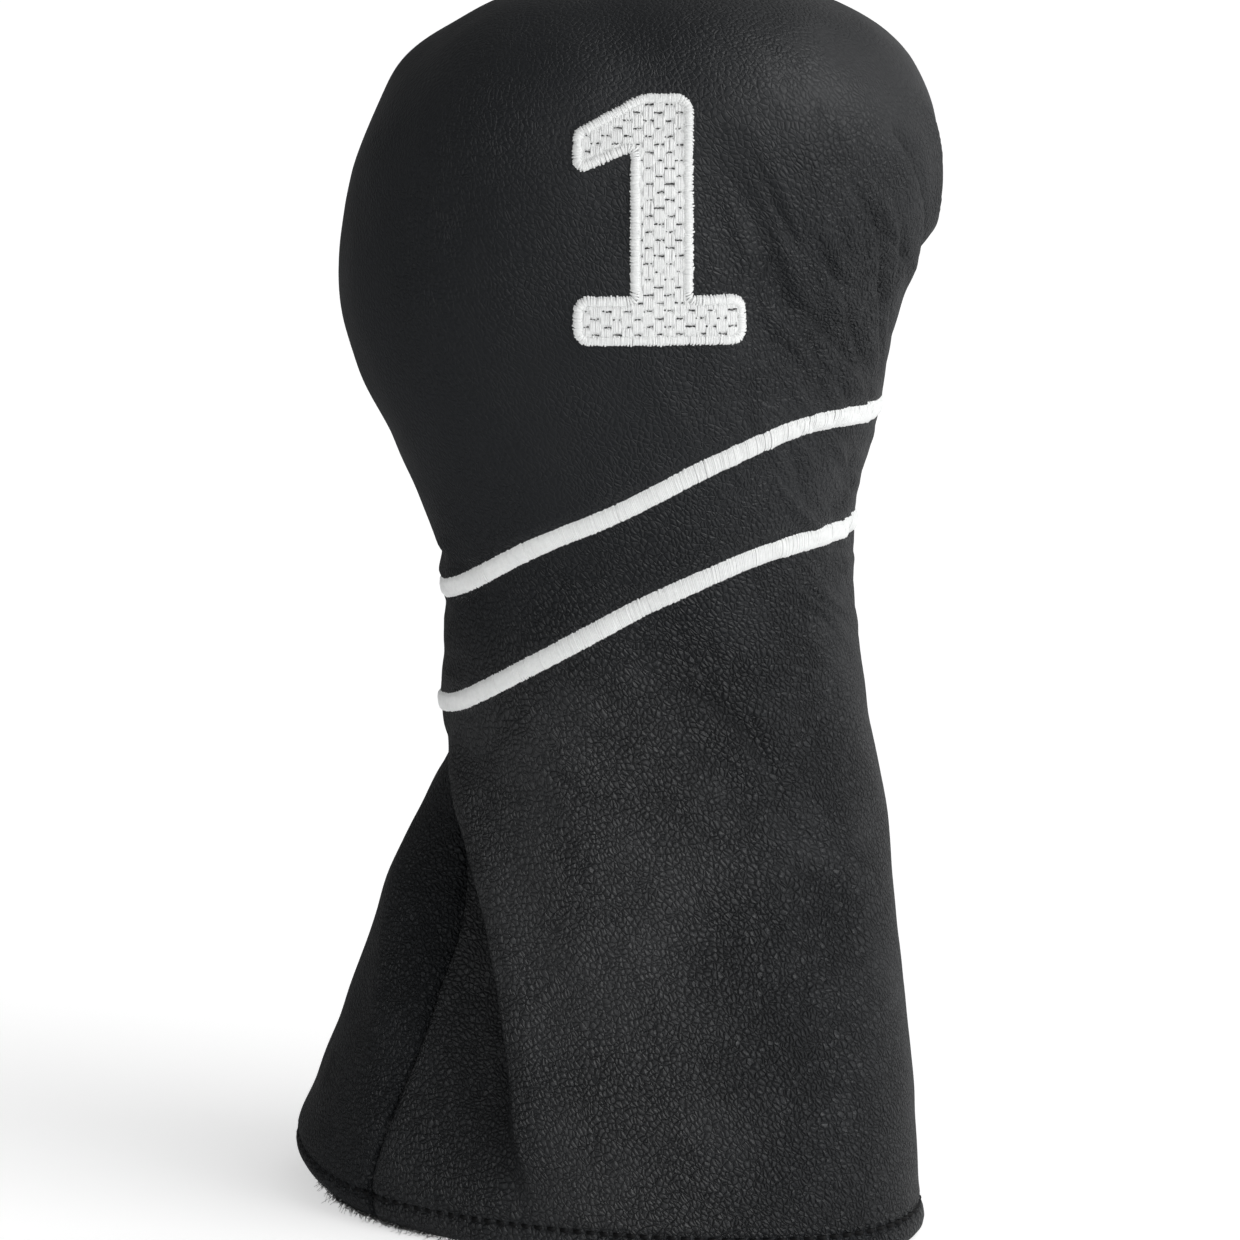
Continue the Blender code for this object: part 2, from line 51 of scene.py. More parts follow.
# Section stack from the hem to the apex: height, left, right, front and back reach.
FORM = np.array(
    (
        (0, -79.5, 77, -56, 44), (10, -81, 77, -56, 44), (24, -78, 76.5, -55, 44),
        (42, -71.5, 75, -53, 43), (62, -63.5, 73, -50, 42), (82, -56, 71, -46, 40),
        (102, -47.5, 68, -42, 38), (117, -42, 66, -40, 36), (131, -42, 64, -39.5, 35),
        (148, -41.5, 62, -41, 35), (164, -42.5, 60.5, -44, 37), (180, -46.5, 61.5, -49, 41),
        (196, -53.5, 65.5, -54, 47), (213, -62, 69, -58, 53), (232, -66, 73, -61, 58),
        (252, -64.5, 80, -62, 61), (270, -60, 80.5, -60, 60), (285, -51, 75.5, -54, 54),
        (297, -37, 64, -43, 42), (305.5, -17, 44, -26, 24), (310, 12, 12, -1, -1),
    ),
    float,
)
TOP_LEVEL = len(FORM) - 1
SQUARENESS = 0.02
SWAY = ((0, 0.26), (60, 0.20), (118, 0.08), (160, 0.03), (200, 0.0), (310, 0.0))
LIFT, LEAST_LIFT, LIFT_ANGLE, LIFT_SPREAD, LIFT_HEIGHT = 8.0, 0.004, 176, 34, 60

LEFT_SEAM = (
    (0, 224.5), (12, 225), (27, 226), (48, 225), (62, 222), (80, 217),
    (95, 206), (110, 191), (125, 180), (145, 173), (170, 170), (310, 170),
)
RIGHT_SEAM = ((0, 34), (40, 28), (80, 16), (120, 6), (160, 3), (310, 3))

PLEAT_CREST = (
    (0, 258), (12, 258), (27, 254), (49, 248), (69, 240.5), (84, 233),
    (98, 222), (108, 211), (117, 198), (128, 186), (160, 190), (310, 200),
)
PLEAT_DEPTH = (
    (0, 0), (12, 0.4), (22, 2.5), (32, 5.5), (49, 11), (69, 15.5), (86, 15.5), (103, 11), (117, 5),
    (130, 0), (310, 0),
)
PLEAT_SPREAD = ((0, 30), (49, 38), (86, 46), (117, 50), (310, 50))
PLEAT_WALL = 0.10

LEATHER = 1.2
PANEL_GAP = 0.12
TURN_START = 3.6  # the height where the hem begins to turn under
TURN_UP = 20  # how high the turned part reaches inside
TURN_DEPTH = 6.6
CROWN_TOP = 309.9
CROWN_FOOT = 176  # where the crown's padding ends
HEM_STITCH_HEIGHT = 7.2
ELASTIC_STITCH_HEIGHTS = (140, 160)
ELASTIC_ENDS = (164, 136)

# Outer and inner depth of the layers under the leather's outer face, for the lining at several
# heights: in the turned hem, deep in the sleeve, flat under the elastic and under the crown's padding.
WADDING_DEPTHS = ((0, 1.5, 4.3), (310, 1.5, 4.3))
ELASTIC_DEPTHS = (1.50, 2.35)
LINING_DEPTHS = (
    (0, 1.5, 5.1), (TURN_UP, 1.5, 5.1), (33, 1.5, 7.0), (122, 1.5, 7.0),
    (136, 2.9, 7.2), (164, 2.9, 7.2), (176, 4.6, 9.4), (310, 4.6, 9.4),
)

STRIPE_WIDTH = 4.6
STRIPE_LEAN = 0.16
THREAD_PITCH = 0.40
UPPER_STRIPE = (
    (-60, 149), (-42, 158), (-20, 172), (3, 183), (24, 194), (44, 202), (58, 204), (80, 202),
)
LOWER_STRIPE = (
    (-60, 119), (-42, 128.5), (-20, 142.6), (10, 160), (34, 170.5), (50, 174), (62, 175), (80, 174),
)
NUMERAL_AT = (12, 224)
NUMERAL_BORDER = 2.1
BRICK = (2.43, 3.66)
BRICK_AT = (-2.85, 0.66)
THREADS_PER_BRICK = 6
HEM_PITCH = 3.35
ELASTIC_PITCH = 3.2
SEAM_PITCH = 2.4


# ---------------------------------------------------------------------------------- the surface


def curve(knots, at):
    """A smooth curve through (x, y) knots, read at the x values `at`."""
    x, y = np.array(knots, float).T
    slope = np.diff(y) / np.diff(x)
    tangent = np.concatenate([[slope[0]], (slope[1:] + slope[:-1]) / 2, [slope[-1]]])
    tangent[1:-1][slope[1:] * slope[:-1] <= 0] = 0
    at = np.clip(at, x[0], x[-1])
    i = np.clip(np.searchsorted(x, at, side="right") - 1, 0, len(x) - 2)
    span = x[i + 1] - x[i]
    s = (at - x[i]) / span
    return (
        (1 + 2 * s) * (1 - s) ** 2 * y[i]
        + s * (1 - s) ** 2 * span * tangent[i]
        + s * s * (3 - 2 * s) * y[i + 1]
        + s * s * (s - 1) * span * tangent[i + 1]
    )


def form(level):
    """Height, left, right, front and back reach at a level, smooth over the apex."""
    beyond = 2 * FORM[-1] - FORM[-2]
    beyond[0] = FORM[-2][0]
    rows = np.vstack([2 * FORM[0] - FORM[1], FORM, beyond])
    level = np.clip(level, 0, TOP_LEVEL)
    i = np.minimum(level.astype(int), TOP_LEVEL - 1)
    s = (level - i)[..., None]
    a, b, c, d = (rows[i + k] for k in range(4))
    return 0.5 * (
        2 * b + (c - a) * s + (2 * a - 5 * b + 4 * c - d) * s**2 + (3 * b - a - 3 * c + d) * s**3
    )


FINE_LEVELS = np.linspace(0, TOP_LEVEL, 40 * TOP_LEVEL + 1)
FINE_HEIGHTS = form(FINE_LEVELS)[:, 0]


def level_of(height):
    return np.interp(height, FINE_HEIGHTS, FINE_LEVELS)


def run_length(points):
    """The length run along a path at each of its points."""
    return np.concatenate([[0], np.cumsum(np.linalg.norm(np.diff(points, axis=0), axis=1))])


def degrees_apart(angle, other):
    return (angle - other + 180) % 360 - 180


def smooth(low, high, value):
    s = np.clip((value - low) / (high - low), 0, 1)
    return s * s * (3 - 2 * s)


def facing_back(angle):
    """How far an angle points to the back, from 1 there to -1 at the front."""
    return np.sin(np.radians(angle))


def bell(value, width):
    return np.exp(-((value / width) ** 2))


def unit(vectors):
    length = np.linalg.norm(vectors, axis=-1, keepdims=True)
    return vectors / np.maximum(length, 1e-9)


def base(angle, level):
    """The oval sections, with no relief."""
    height, left, right, front, back = np.moveaxis(form(level), -1, 0)
    turn = np.radians(angle)
    corner = 1 + SQUARENESS * (1 - np.cos(4 * turn))
    across = (right - left) / 2 * np.cos(turn) * corner
    depth = (back - front) / 2 * np.sin(turn) * corner
    along = (front + back) / 2 + depth - curve(SWAY, height) * across
    share = bell(degrees_apart(angle, LIFT_ANGLE), LIFT_SPREAD)
    lift = LIFT * np.where(share < LEAST_LIFT, 0, share) * np.clip(1 - height / LIFT_HEIGHT, 0, 1) ** 2
    return np.stack([(left + right) / 2 + across, along, height + lift], -1)


def degree_length(angle, level):
    """How far one degree goes along the section."""
    return np.linalg.norm(base(angle + 0.5, level) - base(angle - 0.5, level), axis=-1)


def outward(angle, level):
    """Unit normals of the oval sections, by differences."""
    turn, step = 0.4, 0.02
    round_it = base(angle + turn, level) - base(angle - turn, level)
    up = base(angle, np.minimum(level + step, TOP_LEVEL)) - base(angle, level - step)
    normal = np.cross(round_it, up)
    length = np.linalg.norm(normal, axis=-1, keepdims=True)
    normal = np.where(length > 1e-9, normal / np.maximum(length, 1e-12), (0.0, 0.0, 1.0))
    normal[..., 2] *= np.clip((form(level)[..., 0] - TURN_UP) / 25, 0, 1)
    return unit(normal)


def front_angle(x, level):
    """The angle of the front face's point that has this x."""
    left, right = np.moveaxis(form(level), -1, 0)[1:3]
    share = (x - (left + right) / 2) / np.maximum((right - left) / 2, 1e-6)
    angle = 360 - np.degrees(np.arccos(np.clip(share, -1, 1)))
    for _ in range(4):
        corner = 1 + SQUARENESS * (1 - np.cos(4 * np.radians(angle)))
        angle = 360 - np.degrees(np.arccos(np.clip(share / corner, -1, 1)))
    return angle


def hashed(cell, seed):
    """A repeatable number from 0 to 1 for each cell of a 3-D grid."""
    wave = np.sin(cell @ np.array((127.1, 311.7, 74.7)) + seed * 53.3) * 43758.5453
    return wave - np.floor(wave)


def noise(point, seed=0):
    """Smooth value noise from -1 to 1 at points of any shape."""
    cell = np.floor(point)
    s = point - cell
    s = s * s * (3 - 2 * s)
    total = 0
    for corner in np.ndindex(2, 2, 2):
        corner = np.array(corner)
        weight = np.prod(np.where(corner == 1, s, 1 - s), axis=-1)
        total = total + weight * hashed(cell + corner, seed)
    return 2 * total - 1


# ------------------------------------------------------------------------------------ the relief

# Creases: a lip of hide stands over a valley. Path (height, angle), bulge and its width left of the
# valley, the valley's depth and its width to the right, and the height over which the ends fade.
CREASES = (
    (((234, 386), (239, 372), (243, 362), (246, 354), (250, 348.5), (256, 346), (266, 345), (280, 338)),
     1.1, 5.0, 3.0, 3.6, 6),
    (((221, 382), (225, 366), (229, 354), (233, 347), (240, 341), (250, 335), (262, 327), (272, 320)),
     1.2, 7.0, 3.2, 4.6, 6),
    (((212, 338), (226, 331), (236, 326), (244, 321), (252, 315), (260, 308)), 0.5, 5.0, 1.5, 3.2, 8),
    (((208, 346), (220, 340), (232, 334), (243, 329), (254, 321)), 0.35, 3.0, 1.2, 2.4, 8),
    (((214, 328), (222, 323), (232, 316), (240, 310), (248, 303)), 0.4, 5.0, 1.2, 3.0, 8),
    (((196, 340), (204, 336), (213, 327), (222, 316), (232, 305)), 0.4, 5.0, 1.1, 3.0, 9),
    (((174, 352), (180, 343), (187, 335), (196, 326)), 0.4, 3.0, 1.2, 2.4, 6),
    (((165, 356), (171, 346), (178, 337), (186, 330)), 0.3, 3.0, 1.0, 2.2, 5),
    (((150, 356), (156, 347), (163, 339), (170, 333)), 0.3, 3.0, 0.9, 2.2, 5),
    (((60, 352), (70, 345), (84, 337), (100, 330)), 0.4, 7.0, 1.0, 5.0, 10),
)

# Soft swells and hollows of the front: x, height, half widths, slant in degrees, and depth.
SWELLS = (
    (24, 262, 10, 40, 36, 2.1),
    (48, 271, 13, 34, 38, -1.9),
    (30, 214, 9, 26, -38, 0.8),
    (-18, 148, 14, 10, 0, -0.8),
    (26, 128, 9, 30, 30, 1.9),
    (-6, 100, 13, 24, 18, -1.6),
    (52, 96, 8, 36, 8, 1.7),
    (30, 80, 26, 8, -6, 1.8),
    (22, 40, 34, 20, 8, -1.6),
    (-22, 34, 10, 24, 10, -1.2),
    (4, 12, 30, 7, 4, 0.8),
    (-38, 250, 16, 20, 0, 0.6),
)

# Places where the outline is fuller or leaner than the sections: height, angle, reach in height and in
# degrees, and depth.
TRIMS = (
    (229, 364, 9, 20, 2.6),
    (243, 362, 4.5, 16, 1.8),
    (215, 364, 8, 20, 1.2),
    (104, 360, 15, 18, -1.9),
    (36, 182, 15, 22, 2.0),
    (20, 182, 8, 24, 1.5),
    (3, 182, 4, 24, -1.0),
    (286, 180, 7, 25, -1.6),
    (2, 360, 6, 24, -1.6),
    (167.5, 188, 2.2, 15, 1.4),
    (162.0, 186, 1.7, 12, -0.5),
    (153.0, 190, 2.0, 13, 1.0),
    (141.0, 198, 2.4, 15, 1.0),
    (136.5, 200, 1.5, 12, -0.4),
    (129.0, 204, 1.8, 12, 0.7),
)


def trims(angle, height):
    total = 0
    for at, middle, tall, wide, depth in TRIMS:
        away = degrees_apart(angle, middle) / wide
        total = total + depth * np.exp(-(((height - at) / tall) ** 2) - away**2)
    return total


def gathers(angle, height):
    """The back's small upright folds, drawn in by the neck's elastic."""
    behind = smooth(0.02, 0.30, facing_back(angle))
    run = np.radians(angle) * 40 / 6.4 + 0.45 * np.sin(np.radians(angle) * 9) + 0.004 * (height - 150)
    wave = np.cos(2 * math.pi * run)
    deep = 0.75 * bell(height - 150, 14) + 0.40 * bell(height - 150, 32)
    uneven = 0.75 + 0.25 * np.sin(np.radians(angle) * 5 + 1)
    return behind * deep * uneven * wave


def pleat(angle, height):
    """How far the pleat's valley is pressed in, left of its crest."""
    s = degrees_apart(curve(PLEAT_CREST, height), angle) / curve(PLEAT_SPREAD, height)
    wall = smooth(0, PLEAT_WALL, s)
    rise = smooth(PLEAT_WALL, 1, s)
    roll = bell(s + 0.10, 0.10) * smooth(20, 50, height) * smooth(125, 100, height)
    return curve(PLEAT_DEPTH, height) * wall * (1 - rise) - 1.0 * roll


def creases(angle, height, radius):
    """The drawn creases of the right side."""
    total = 0
    for path, bulge, bulge_width, depth, depth_width, fade in CREASES:
        low, high = path[0][0], path[-1][0]
        line = curve(path, height)
        slope = (curve(path, height + 0.5) - curve(path, height - 0.5)) * np.radians(1) * radius
        s = np.radians(degrees_apart(angle, line)) * radius / np.sqrt(1 + slope**2)
        ends = smooth(low - fade / 2, low + fade, height) * smooth(high + fade / 2, high - fade, height)
        side = smooth(-0.8, 0.8, s)
        lip = -bulge * bell(s, bulge_width) * (1 - side)
        fold = depth * np.exp(-((np.maximum(s, 0) / depth_width) ** 1.4)) * side
        total = total + ends * (lip + fold)
    return total


def laid_along(point, x, height, way):
    """How far points lie from (x, height): along a direction in degrees, and across it."""
    c, s = math.cos(math.radians(way)), math.sin(math.radians(way))
    dx, dz = point[..., 0] - x, point[..., 2] - height
    return dx * c + dz * s, dz * c - dx * s


def swells(point, facing):
    """The front's broad soft unevenness."""
    total = 0
    for x, height, wide, tall, slant, depth in SWELLS:
        across, along = laid_along(point, x, height, slant)
        total = total + depth * np.exp(-((across / wide) ** 2) - (along / tall) ** 2)
    return total * facing


def wrinkles(point, angle, height):
    """Drawn wrinkles, each field stretched along its own direction and kept to its own place."""
    fields = (  # x, height, reach across and up, direction in degrees, length, spacing, depth, front
        (46, 232, 24, 28, -58, 26, 4.6, 1.15, 1),
        (54, 190, 14, 22, -50, 20, 3.4, 0.95, 1),
        (56, 160, 10, 14, -42, 12, 3.0, 0.80, 1),
        (30, 178, 30, 16, -50, 24, 5.0, 0.25, 1),
        (20, 110, 40, 40, -35, 34, 8.0, 0.75, 1),
        (-38, 163, 9, 12, 20, 12, 4.0, 0.6, 1),
        (-40, 110, 12, 22, 70, 16, 4.5, 0.7, 1),
        (10, 150, 60, 34, 90, 44, 8.5, 1.5, -1),
    )
    total = 0
    for n, (x, z, wide, tall, way, length, spacing, depth, side) in enumerate(fields):
        dx, dz = point[..., 0] - x, point[..., 2] - z
        along, across = laid_along(point, x, z, way)
        depth_axis = point[..., 1] / 18
        at = np.stack([along / length, across / spacing, depth_axis], -1)
        bend = noise(np.stack([dx / 24, dz / 24, depth_axis], -1), n + 3)
        at[..., 1] += 0.8 * bend
        ridge = 1 - np.abs(noise(at, n + 20)) * 2
        reach = np.exp(-((dx / wide) ** 2) - (dz / tall) ** 2)
        facing = smooth(-0.15, 0.35, -side * facing_back(angle))
        total = total + depth * ridge * reach * facing
    return total


HEM_TURN = np.linspace(0, 360, 721)
HEM_LINE = base(HEM_TURN, level_of(HEM_STITCH_HEIGHT + 0 * HEM_TURN))
HEM_RUN = run_length(HEM_LINE)


def stitch_pull(point, angle, height):
    """The hide sinks where the hem's and the elastic's stitches draw it in, and round embroidery."""
    pull = 0.75 * bell(height - HEM_STITCH_HEIGHT, 1.25)
    wave = np.cos(np.interp(angle % 360, HEM_TURN, HEM_RUN) * 2 * math.pi / HEM_PITCH)
    pull = pull - 0.30 * wave * bell(height - HEM_STITCH_HEIGHT, 1.6)
    behind = smooth(0.0, 0.25, facing_back(angle))
    for at in ELASTIC_STITCH_HEIGHTS:
        pull = pull + 0.8 * behind * bell(height - at, 2.2)
    facing = smooth(-0.05, -0.2, facing_back(angle))
    for line in (UPPER_STRIPE, LOWER_STRIPE):
        away = (height - curve(line, point[..., 0])) * math.cos(math.radians(24))
        pull = pull + 0.5 * facing * np.exp(-((away / 4.0) ** 4))
    return pull


def relief(angle, level):
    """How far the hide is pressed in at each point, in mm."""
    point = base(angle, level)
    rows = form(level)
    height = rows[..., 0]
    radius = np.maximum((rows[..., 2] - rows[..., 1]) / 2, 1)
    facing = smooth(0.1, -0.35, facing_back(angle))
    crown = smooth(308, 296, height)
    ripple = noise(point / 21, 1) * 0.7 + noise(point / 9, 2) * 0.22
    calm = smooth(14, 34, height)
    pressed = pleat(angle, height) + crown * creases(angle, height, radius)
    pressed = pressed + calm * (swells(point, facing) + wrinkles(point, angle, height) + crown * ripple)
    return pressed + trims(angle, height) + gathers(angle, height) + stitch_pull(point, angle, height)


# --------------------------------------------------------------------------------- mesh helpers


def edge_angles(level, half_gap, front):
    """First and last angle of a panel, half_gap short of each seam, for each level."""
    height = form(level)[:, 0]
    left, right = curve(LEFT_SEAM, height), curve(RIGHT_SEAM, height)
    start, end = (left, right + 360) if front else (right, left)
    ends = []
    for angle, way in ((start, 1), (end, -1)):
        radius = np.maximum(np.degrees(degree_length(angle, level)), 1e-6)
        ends.append(angle + way * np.degrees(np.arcsin(np.minimum(1, half_gap / radius))))
    return ends


def panel_grid(level, gap, front, shares):
    """A panel's first and last angles, short of the seams by a gap, and its grid's angles and levels."""
    start, end = edge_angles(level, gap, front)
    angle = start[:, None] + (end - start)[:, None] * shares
    return start, end, angle, level[:, None] + 0 * angle


def rows_of_height(spacing):
    """Heights from just under the apex to the hem's turn, about evenly spaced along the surface."""
    levels = np.linspace(level_of(TURN_START), level_of(FORM[-1][0] - 1e-4), 4000)
    path = np.stack([form(levels)[:, 0], (form(levels)[:, 2] - form(levels)[:, 1]) / 2], -1)
    run = run_length(path)
    even = np.linspace(run[-1], 0, round(run[-1] / spacing) + 1)
    return form(np.interp(even, run, levels))[:, 0]


def add_object(name, data):
    added = bpy.data.objects.new(name, data)
    bpy.context.scene.collection.objects.link(added)
    return added


def mesh_object(name, vertices, faces, material):
    """A smooth mesh object from points in the sections' millimetres, riding on the cover."""
    mesh = bpy.data.meshes.new(name)
    vertices = (np.asarray(vertices) - MIDDLE) * MM
    faces = np.asarray(faces)
    mesh.vertices.add(len(vertices))
    mesh.vertices.foreach_set("co", vertices.ravel())
    count, sides = faces.shape
    mesh.loops.add(count * sides)
    mesh.loops.foreach_set("vertex_index", faces.ravel().astype(np.int32))
    mesh.polygons.add(count)
    mesh.polygons.foreach_set("loop_start", np.arange(0, count * sides, sides, dtype=np.int32))
    mesh.update(calc_edges=True)
    mesh.validate()
    mesh.materials.append(material)
    mesh.shade_smooth()
    piece = add_object(name, mesh)
    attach(piece, "root")
    return piece


def grid_faces(cell):
    """Faces between the points of a grid, whose numbers cell holds."""
    return np.stack([cell[:-1, :-1], cell[1:, :-1], cell[1:, 1:], cell[:-1, 1:]], -1).reshape(-1, 4)


def sheet_faces(rows, columns):
    """Faces of a closed sheet between two grids of the same size, outer grid first."""
    count = rows * columns
    cell = np.arange(count).reshape(rows, columns)
    quads = grid_faces(cell)
    rim = np.concatenate([cell[0, :-1], cell[:-1, -1], cell[-1, :0:-1], cell[:0:-1, 0]])
    after = np.roll(rim, -1)
    sides = np.stack([rim, after, after + count, rim + count], -1)
    return np.concatenate([quads, quads[:, [0, 3, 2, 1]] + count, sides])


def shell(name, node, outside, inside, material):
    """A closed sheet between two grids of points, in place of a node of the frame."""
    vertices = np.concatenate([outside.reshape(-1, 3), inside.reshape(-1, 3)])
    piece = mesh_object(name, vertices, sheet_faces(*outside.shape[:2]), material)
    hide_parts(node)
    return piece


def grid_normals(points):
    """Unit normals of a grid of points, from its own rows and columns."""
    return unit(np.cross(np.gradient(points, axis=1), -np.gradient(points, axis=0)))


def set_attribute(piece, name, values):
    """A number per vertex that the piece's material reads."""
    attribute = piece.data.attributes.new(name, "FLOAT", "POINT")
    attribute.data.foreach_set("value", np.asarray(values, np.float32).ravel())


def hide_points(angle, level, depth=0.0):
    """Points of the hide's outer face, sunk by a depth (negative stands above it)."""
    return base(angle, level) - outward(angle, level) * (relief(angle, level) + depth)[..., None]


# ------------------------------------------------------------------------------------ materials


class Nodes:
    """The node tree of a material or a world, with short calls for the nodes used here."""

    def __init__(self, name, owners=bpy.data.materials, shader="Principled BSDF"):
        self.owner = owners.new(name)
        self.owner.use_nodes = True
        self.tree = self.owner.node_tree
        self.shader = self.tree.nodes[shader]

    def add(self, kind, inputs=(), **settings):
        node = self.tree.nodes.new(kind)
        for key, value in settings.items():
            setattr(node, key, value)
        for key, value in dict(inputs).items():
            self.feed(node, key, value)
        return node

    def feed(self, node, key, value):
        """Sets a socket, or links it if the value is another node's socket."""
        if isinstance(value, bpy.types.NodeSocket):
            self.tree.links.new(value, node.inputs[key])
        else:
            node.inputs[key].default_value = value

    def place(self):
        return self.add("ShaderNodeTexCoord").outputs["Object"]

    def attribute(self, name):
        return self.add("ShaderNodeAttribute", attribute_name=name).outputs["Fac"]

    def math(self, operation, a, b=0.0, clamp=False):
        node = self.add("ShaderNodeMath", {0: a, 1: b}, operation=operation, use_clamp=clamp)
        return node.outputs[0]

    def times(self, a, b):
        return self.math("MULTIPLY", a, b)

    def less(self, value):
        """One less a value."""
        return self.math("SUBTRACT", 1.0, value)

    def total(self, *parts):
        """The sum of (value, share) pairs."""
        whole = self.times(*parts[0])
        for value, share in parts[1:]:
            whole = self.math("ADD", whole, self.times(value, share))
        return whole

    def ramp(self, value, low, high, start=0.0, end=1.0):
        inputs = {"Value": value, "From Min": low, "From Max": high, "To Min": start, "To Max": end}
        node = self.add("ShaderNodeMapRange", inputs, interpolation_type="SMOOTHSTEP")
        return node.outputs["Result"]

    def noise(self, at, scale, detail=2.0, roughness=0.5):
        inputs = {"Vector": at, "Scale": scale, "Detail": detail, "Roughness": roughness}
        return self.add("ShaderNodeTexNoise", inputs).outputs["Fac"]

    def scaled(self, at, scale):
        node = self.add("ShaderNodeVectorMath", {0: at, 1: scale}, operation="MULTIPLY")
        return node.outputs[0]

    def warped(self, at, scale, amount):
        """Coordinates pushed about by noise, so that a pattern isn't regular."""
        wave = self.add("ShaderNodeTexNoise", {"Vector": at, "Scale": scale, "Detail": 2.0})
        half = {0: wave.outputs["Color"], 1: (0.5, 0.5, 0.5)}
        centred = self.add("ShaderNodeVectorMath", half, operation="SUBTRACT")
        push = self.scaled(centred.outputs[0], (amount, amount, amount))
        return self.add("ShaderNodeVectorMath", {0: at, 1: push}, operation="ADD").outputs[0]

    def slanted(self, at):
        """Coordinates whose first axis runs down to the right, the way the hide's creases are drawn."""
        turned = self.add("ShaderNodeCombineXYZ")
        for k, axis in enumerate(((0.64, 0.0, -0.77), (0.77, 0.0, 0.64), (0.0, 1.0, 0.0))):
            part = self.add("ShaderNodeVectorMath", {0: at, 1: axis}, operation="DOT_PRODUCT")
            self.feed(turned, k, part.outputs["Value"])
        return turned.outputs[0]

    def ridge(self, at, scale):
        """Thin drawn lines, 1 on a line and falling to 0 between."""
        wave = self.noise(at, scale, 3.0, 0.55)
        away = self.math("ABSOLUTE", self.math("SUBTRACT", wave, 0.5))
        return self.ramp(away, 0.0, 0.10, 1.0, 0.0)

    def voronoi(self, at, scale, feature="DISTANCE_TO_EDGE"):
        node = self.add("ShaderNodeTexVoronoi", {"Vector": at, "Scale": scale}, feature=feature)
        return node.outputs["Distance"]

    def mix(self, share, a, b):
        node = self.add("ShaderNodeMix", data_type="RGBA")
        for key, value in ((0, share), (6, a), (7, b)):
            self.feed(node, key, value)
        return node.outputs[2]

    def bump(self, height, distance, strength=1.0, normal=None):
        node = self.add("ShaderNodeBump", {"Height": height, "Distance": distance, "Strength": strength})
        if normal is not None:
            self.feed(node, "Normal", normal)
        return node.outputs["Normal"]

    def finish(self, **sockets):
        for key, value in sockets.items():
            self.feed(self.shader, key.replace("_", " "), value)
        return self.owner


def leather_material():
    """Soft pebbled black hide: domed cells with painted shade in the fine cracks between, drawn creases,
    and a lower front painted lighter, partly as grey dust and partly as painted light.
    """
    n = Nodes("black_leather")
    at = n.place()
    slant = n.slanted(n.warped(at, 70, 0.004))
    bent = n.warped(n.scaled(slant, (0.72, 1.0, 1.0)), 500, 0.0007)
    away = n.voronoi(bent, 860)
    dome, crack = n.ramp(away, 0.0, 0.42), n.ramp(away, 0.0, 0.10)
    wide = n.ramp(n.voronoi(n.warped(n.scaled(slant, (0.6, 1.0, 1.0)), 260, 0.0018), 330), 0.0, 0.11)
    small = n.ramp(n.voronoi(n.warped(at, 900, 0.0004), 2300), 0.0, 0.35)
    fold_patches = n.ramp(n.noise(at, 24, 2.0), 0.45, 0.65)
    folds = n.times(n.ridge(n.scaled(slant, (0.30, 1.0, 1.0)), 150), fold_patches)
    patches = n.ramp(n.noise(at, 38, 3.0), 0.36, 0.64, 0.60, 1.15)
    grain = n.times(n.attribute("grain"), patches)
    height = n.total((dome, 0.46), (crack, 0.26), (wide, 0.11), (small, 0.035), (folds, -0.22))
    drawn = n.times(n.ridge(n.scaled(slant, (0.34, 1.0, 1.0)), 330), n.attribute("drawn"))
    pores = n.ramp(n.noise(at, 1300, 2.0), 0.3, 0.7)
    height = n.total((n.times(height, grain), 1.0), (drawn, -0.20), (pores, 0.03))
    normal = n.bump(n.noise(at, 3600, 3.0, 0.6), 0.00006, 0.8, n.bump(height, 0.001))
    # Painted shade: the grain's cracks are painted darker, the more so where the grain is deep.
    cracks = n.total((n.less(crack), 0.80), (n.less(wide), 0.22))
    tops = n.less(n.times(cracks, n.math("MULTIPLY", grain, 1.0, True)))
    # Painted light: the cells of the lower front are painted lighter, partly grey dust and partly light
    # and glint painted in where the front light falls.
    face = n.mix(n.attribute("dust_and_painted_light"), (0.0140, 0.0154, 0.0174, 1), (0.0345, 0.0357, 0.0375, 1))
    colour = n.mix(tops, (0.0075, 0.0086, 0.0100, 1), face)
    wear = n.ramp(n.noise(at, 35, 3.0), 0.3, 0.7, 0.44, 0.32)
    rough = n.total((wear, 1.0), (n.less(tops), 0.16))
    return n.finish(Base_Color=colour, Roughness=rough, Normal=normal, Specular_IOR_Level=0.36)


def thread_material(name, colour, shade, rough, gloss=0.4):
    """Twisted embroidery thread: fine ply lines and a little colour change from thread to thread."""
    n = Nodes(name)
    at = n.place()
    mixed = n.mix(n.noise(at, 900, 3.0), shade, colour)
    normal = n.bump(n.noise(at, 6500), 0.00004, 0.6)
    return n.finish(Base_Color=mixed, Roughness=rough, Normal=normal, Specular_IOR_Level=gloss)


def plush_material():
    """Grey plush pile: tufts in bump, with pale tips and painted shade darkening the roots between them.
    """
    n = Nodes("grey_plush")
    at = n.warped(n.place(), 300, 0.002)
    tuft = n.voronoi(at, 420, "F1")
    fibre = n.noise(at, 2600, 3.0, 0.7)
    height = n.math("ADD", n.less(tuft), n.times(fibre, 0.5))
    # Painted shade: the pile is coloured dark where its height is low, between the tufts, and pale on the
    # tips.
    colour = n.mix(n.ramp(height, 0.5, 1.35), (0.20, 0.20, 0.195, 1), (0.74, 0.735, 0.71, 1))
    n.finish(Sheen_Weight=0.6, Sheen_Roughness=0.5)
    return n.finish(Base_Color=colour, Roughness=0.95, Normal=n.bump(height, 0.0012))


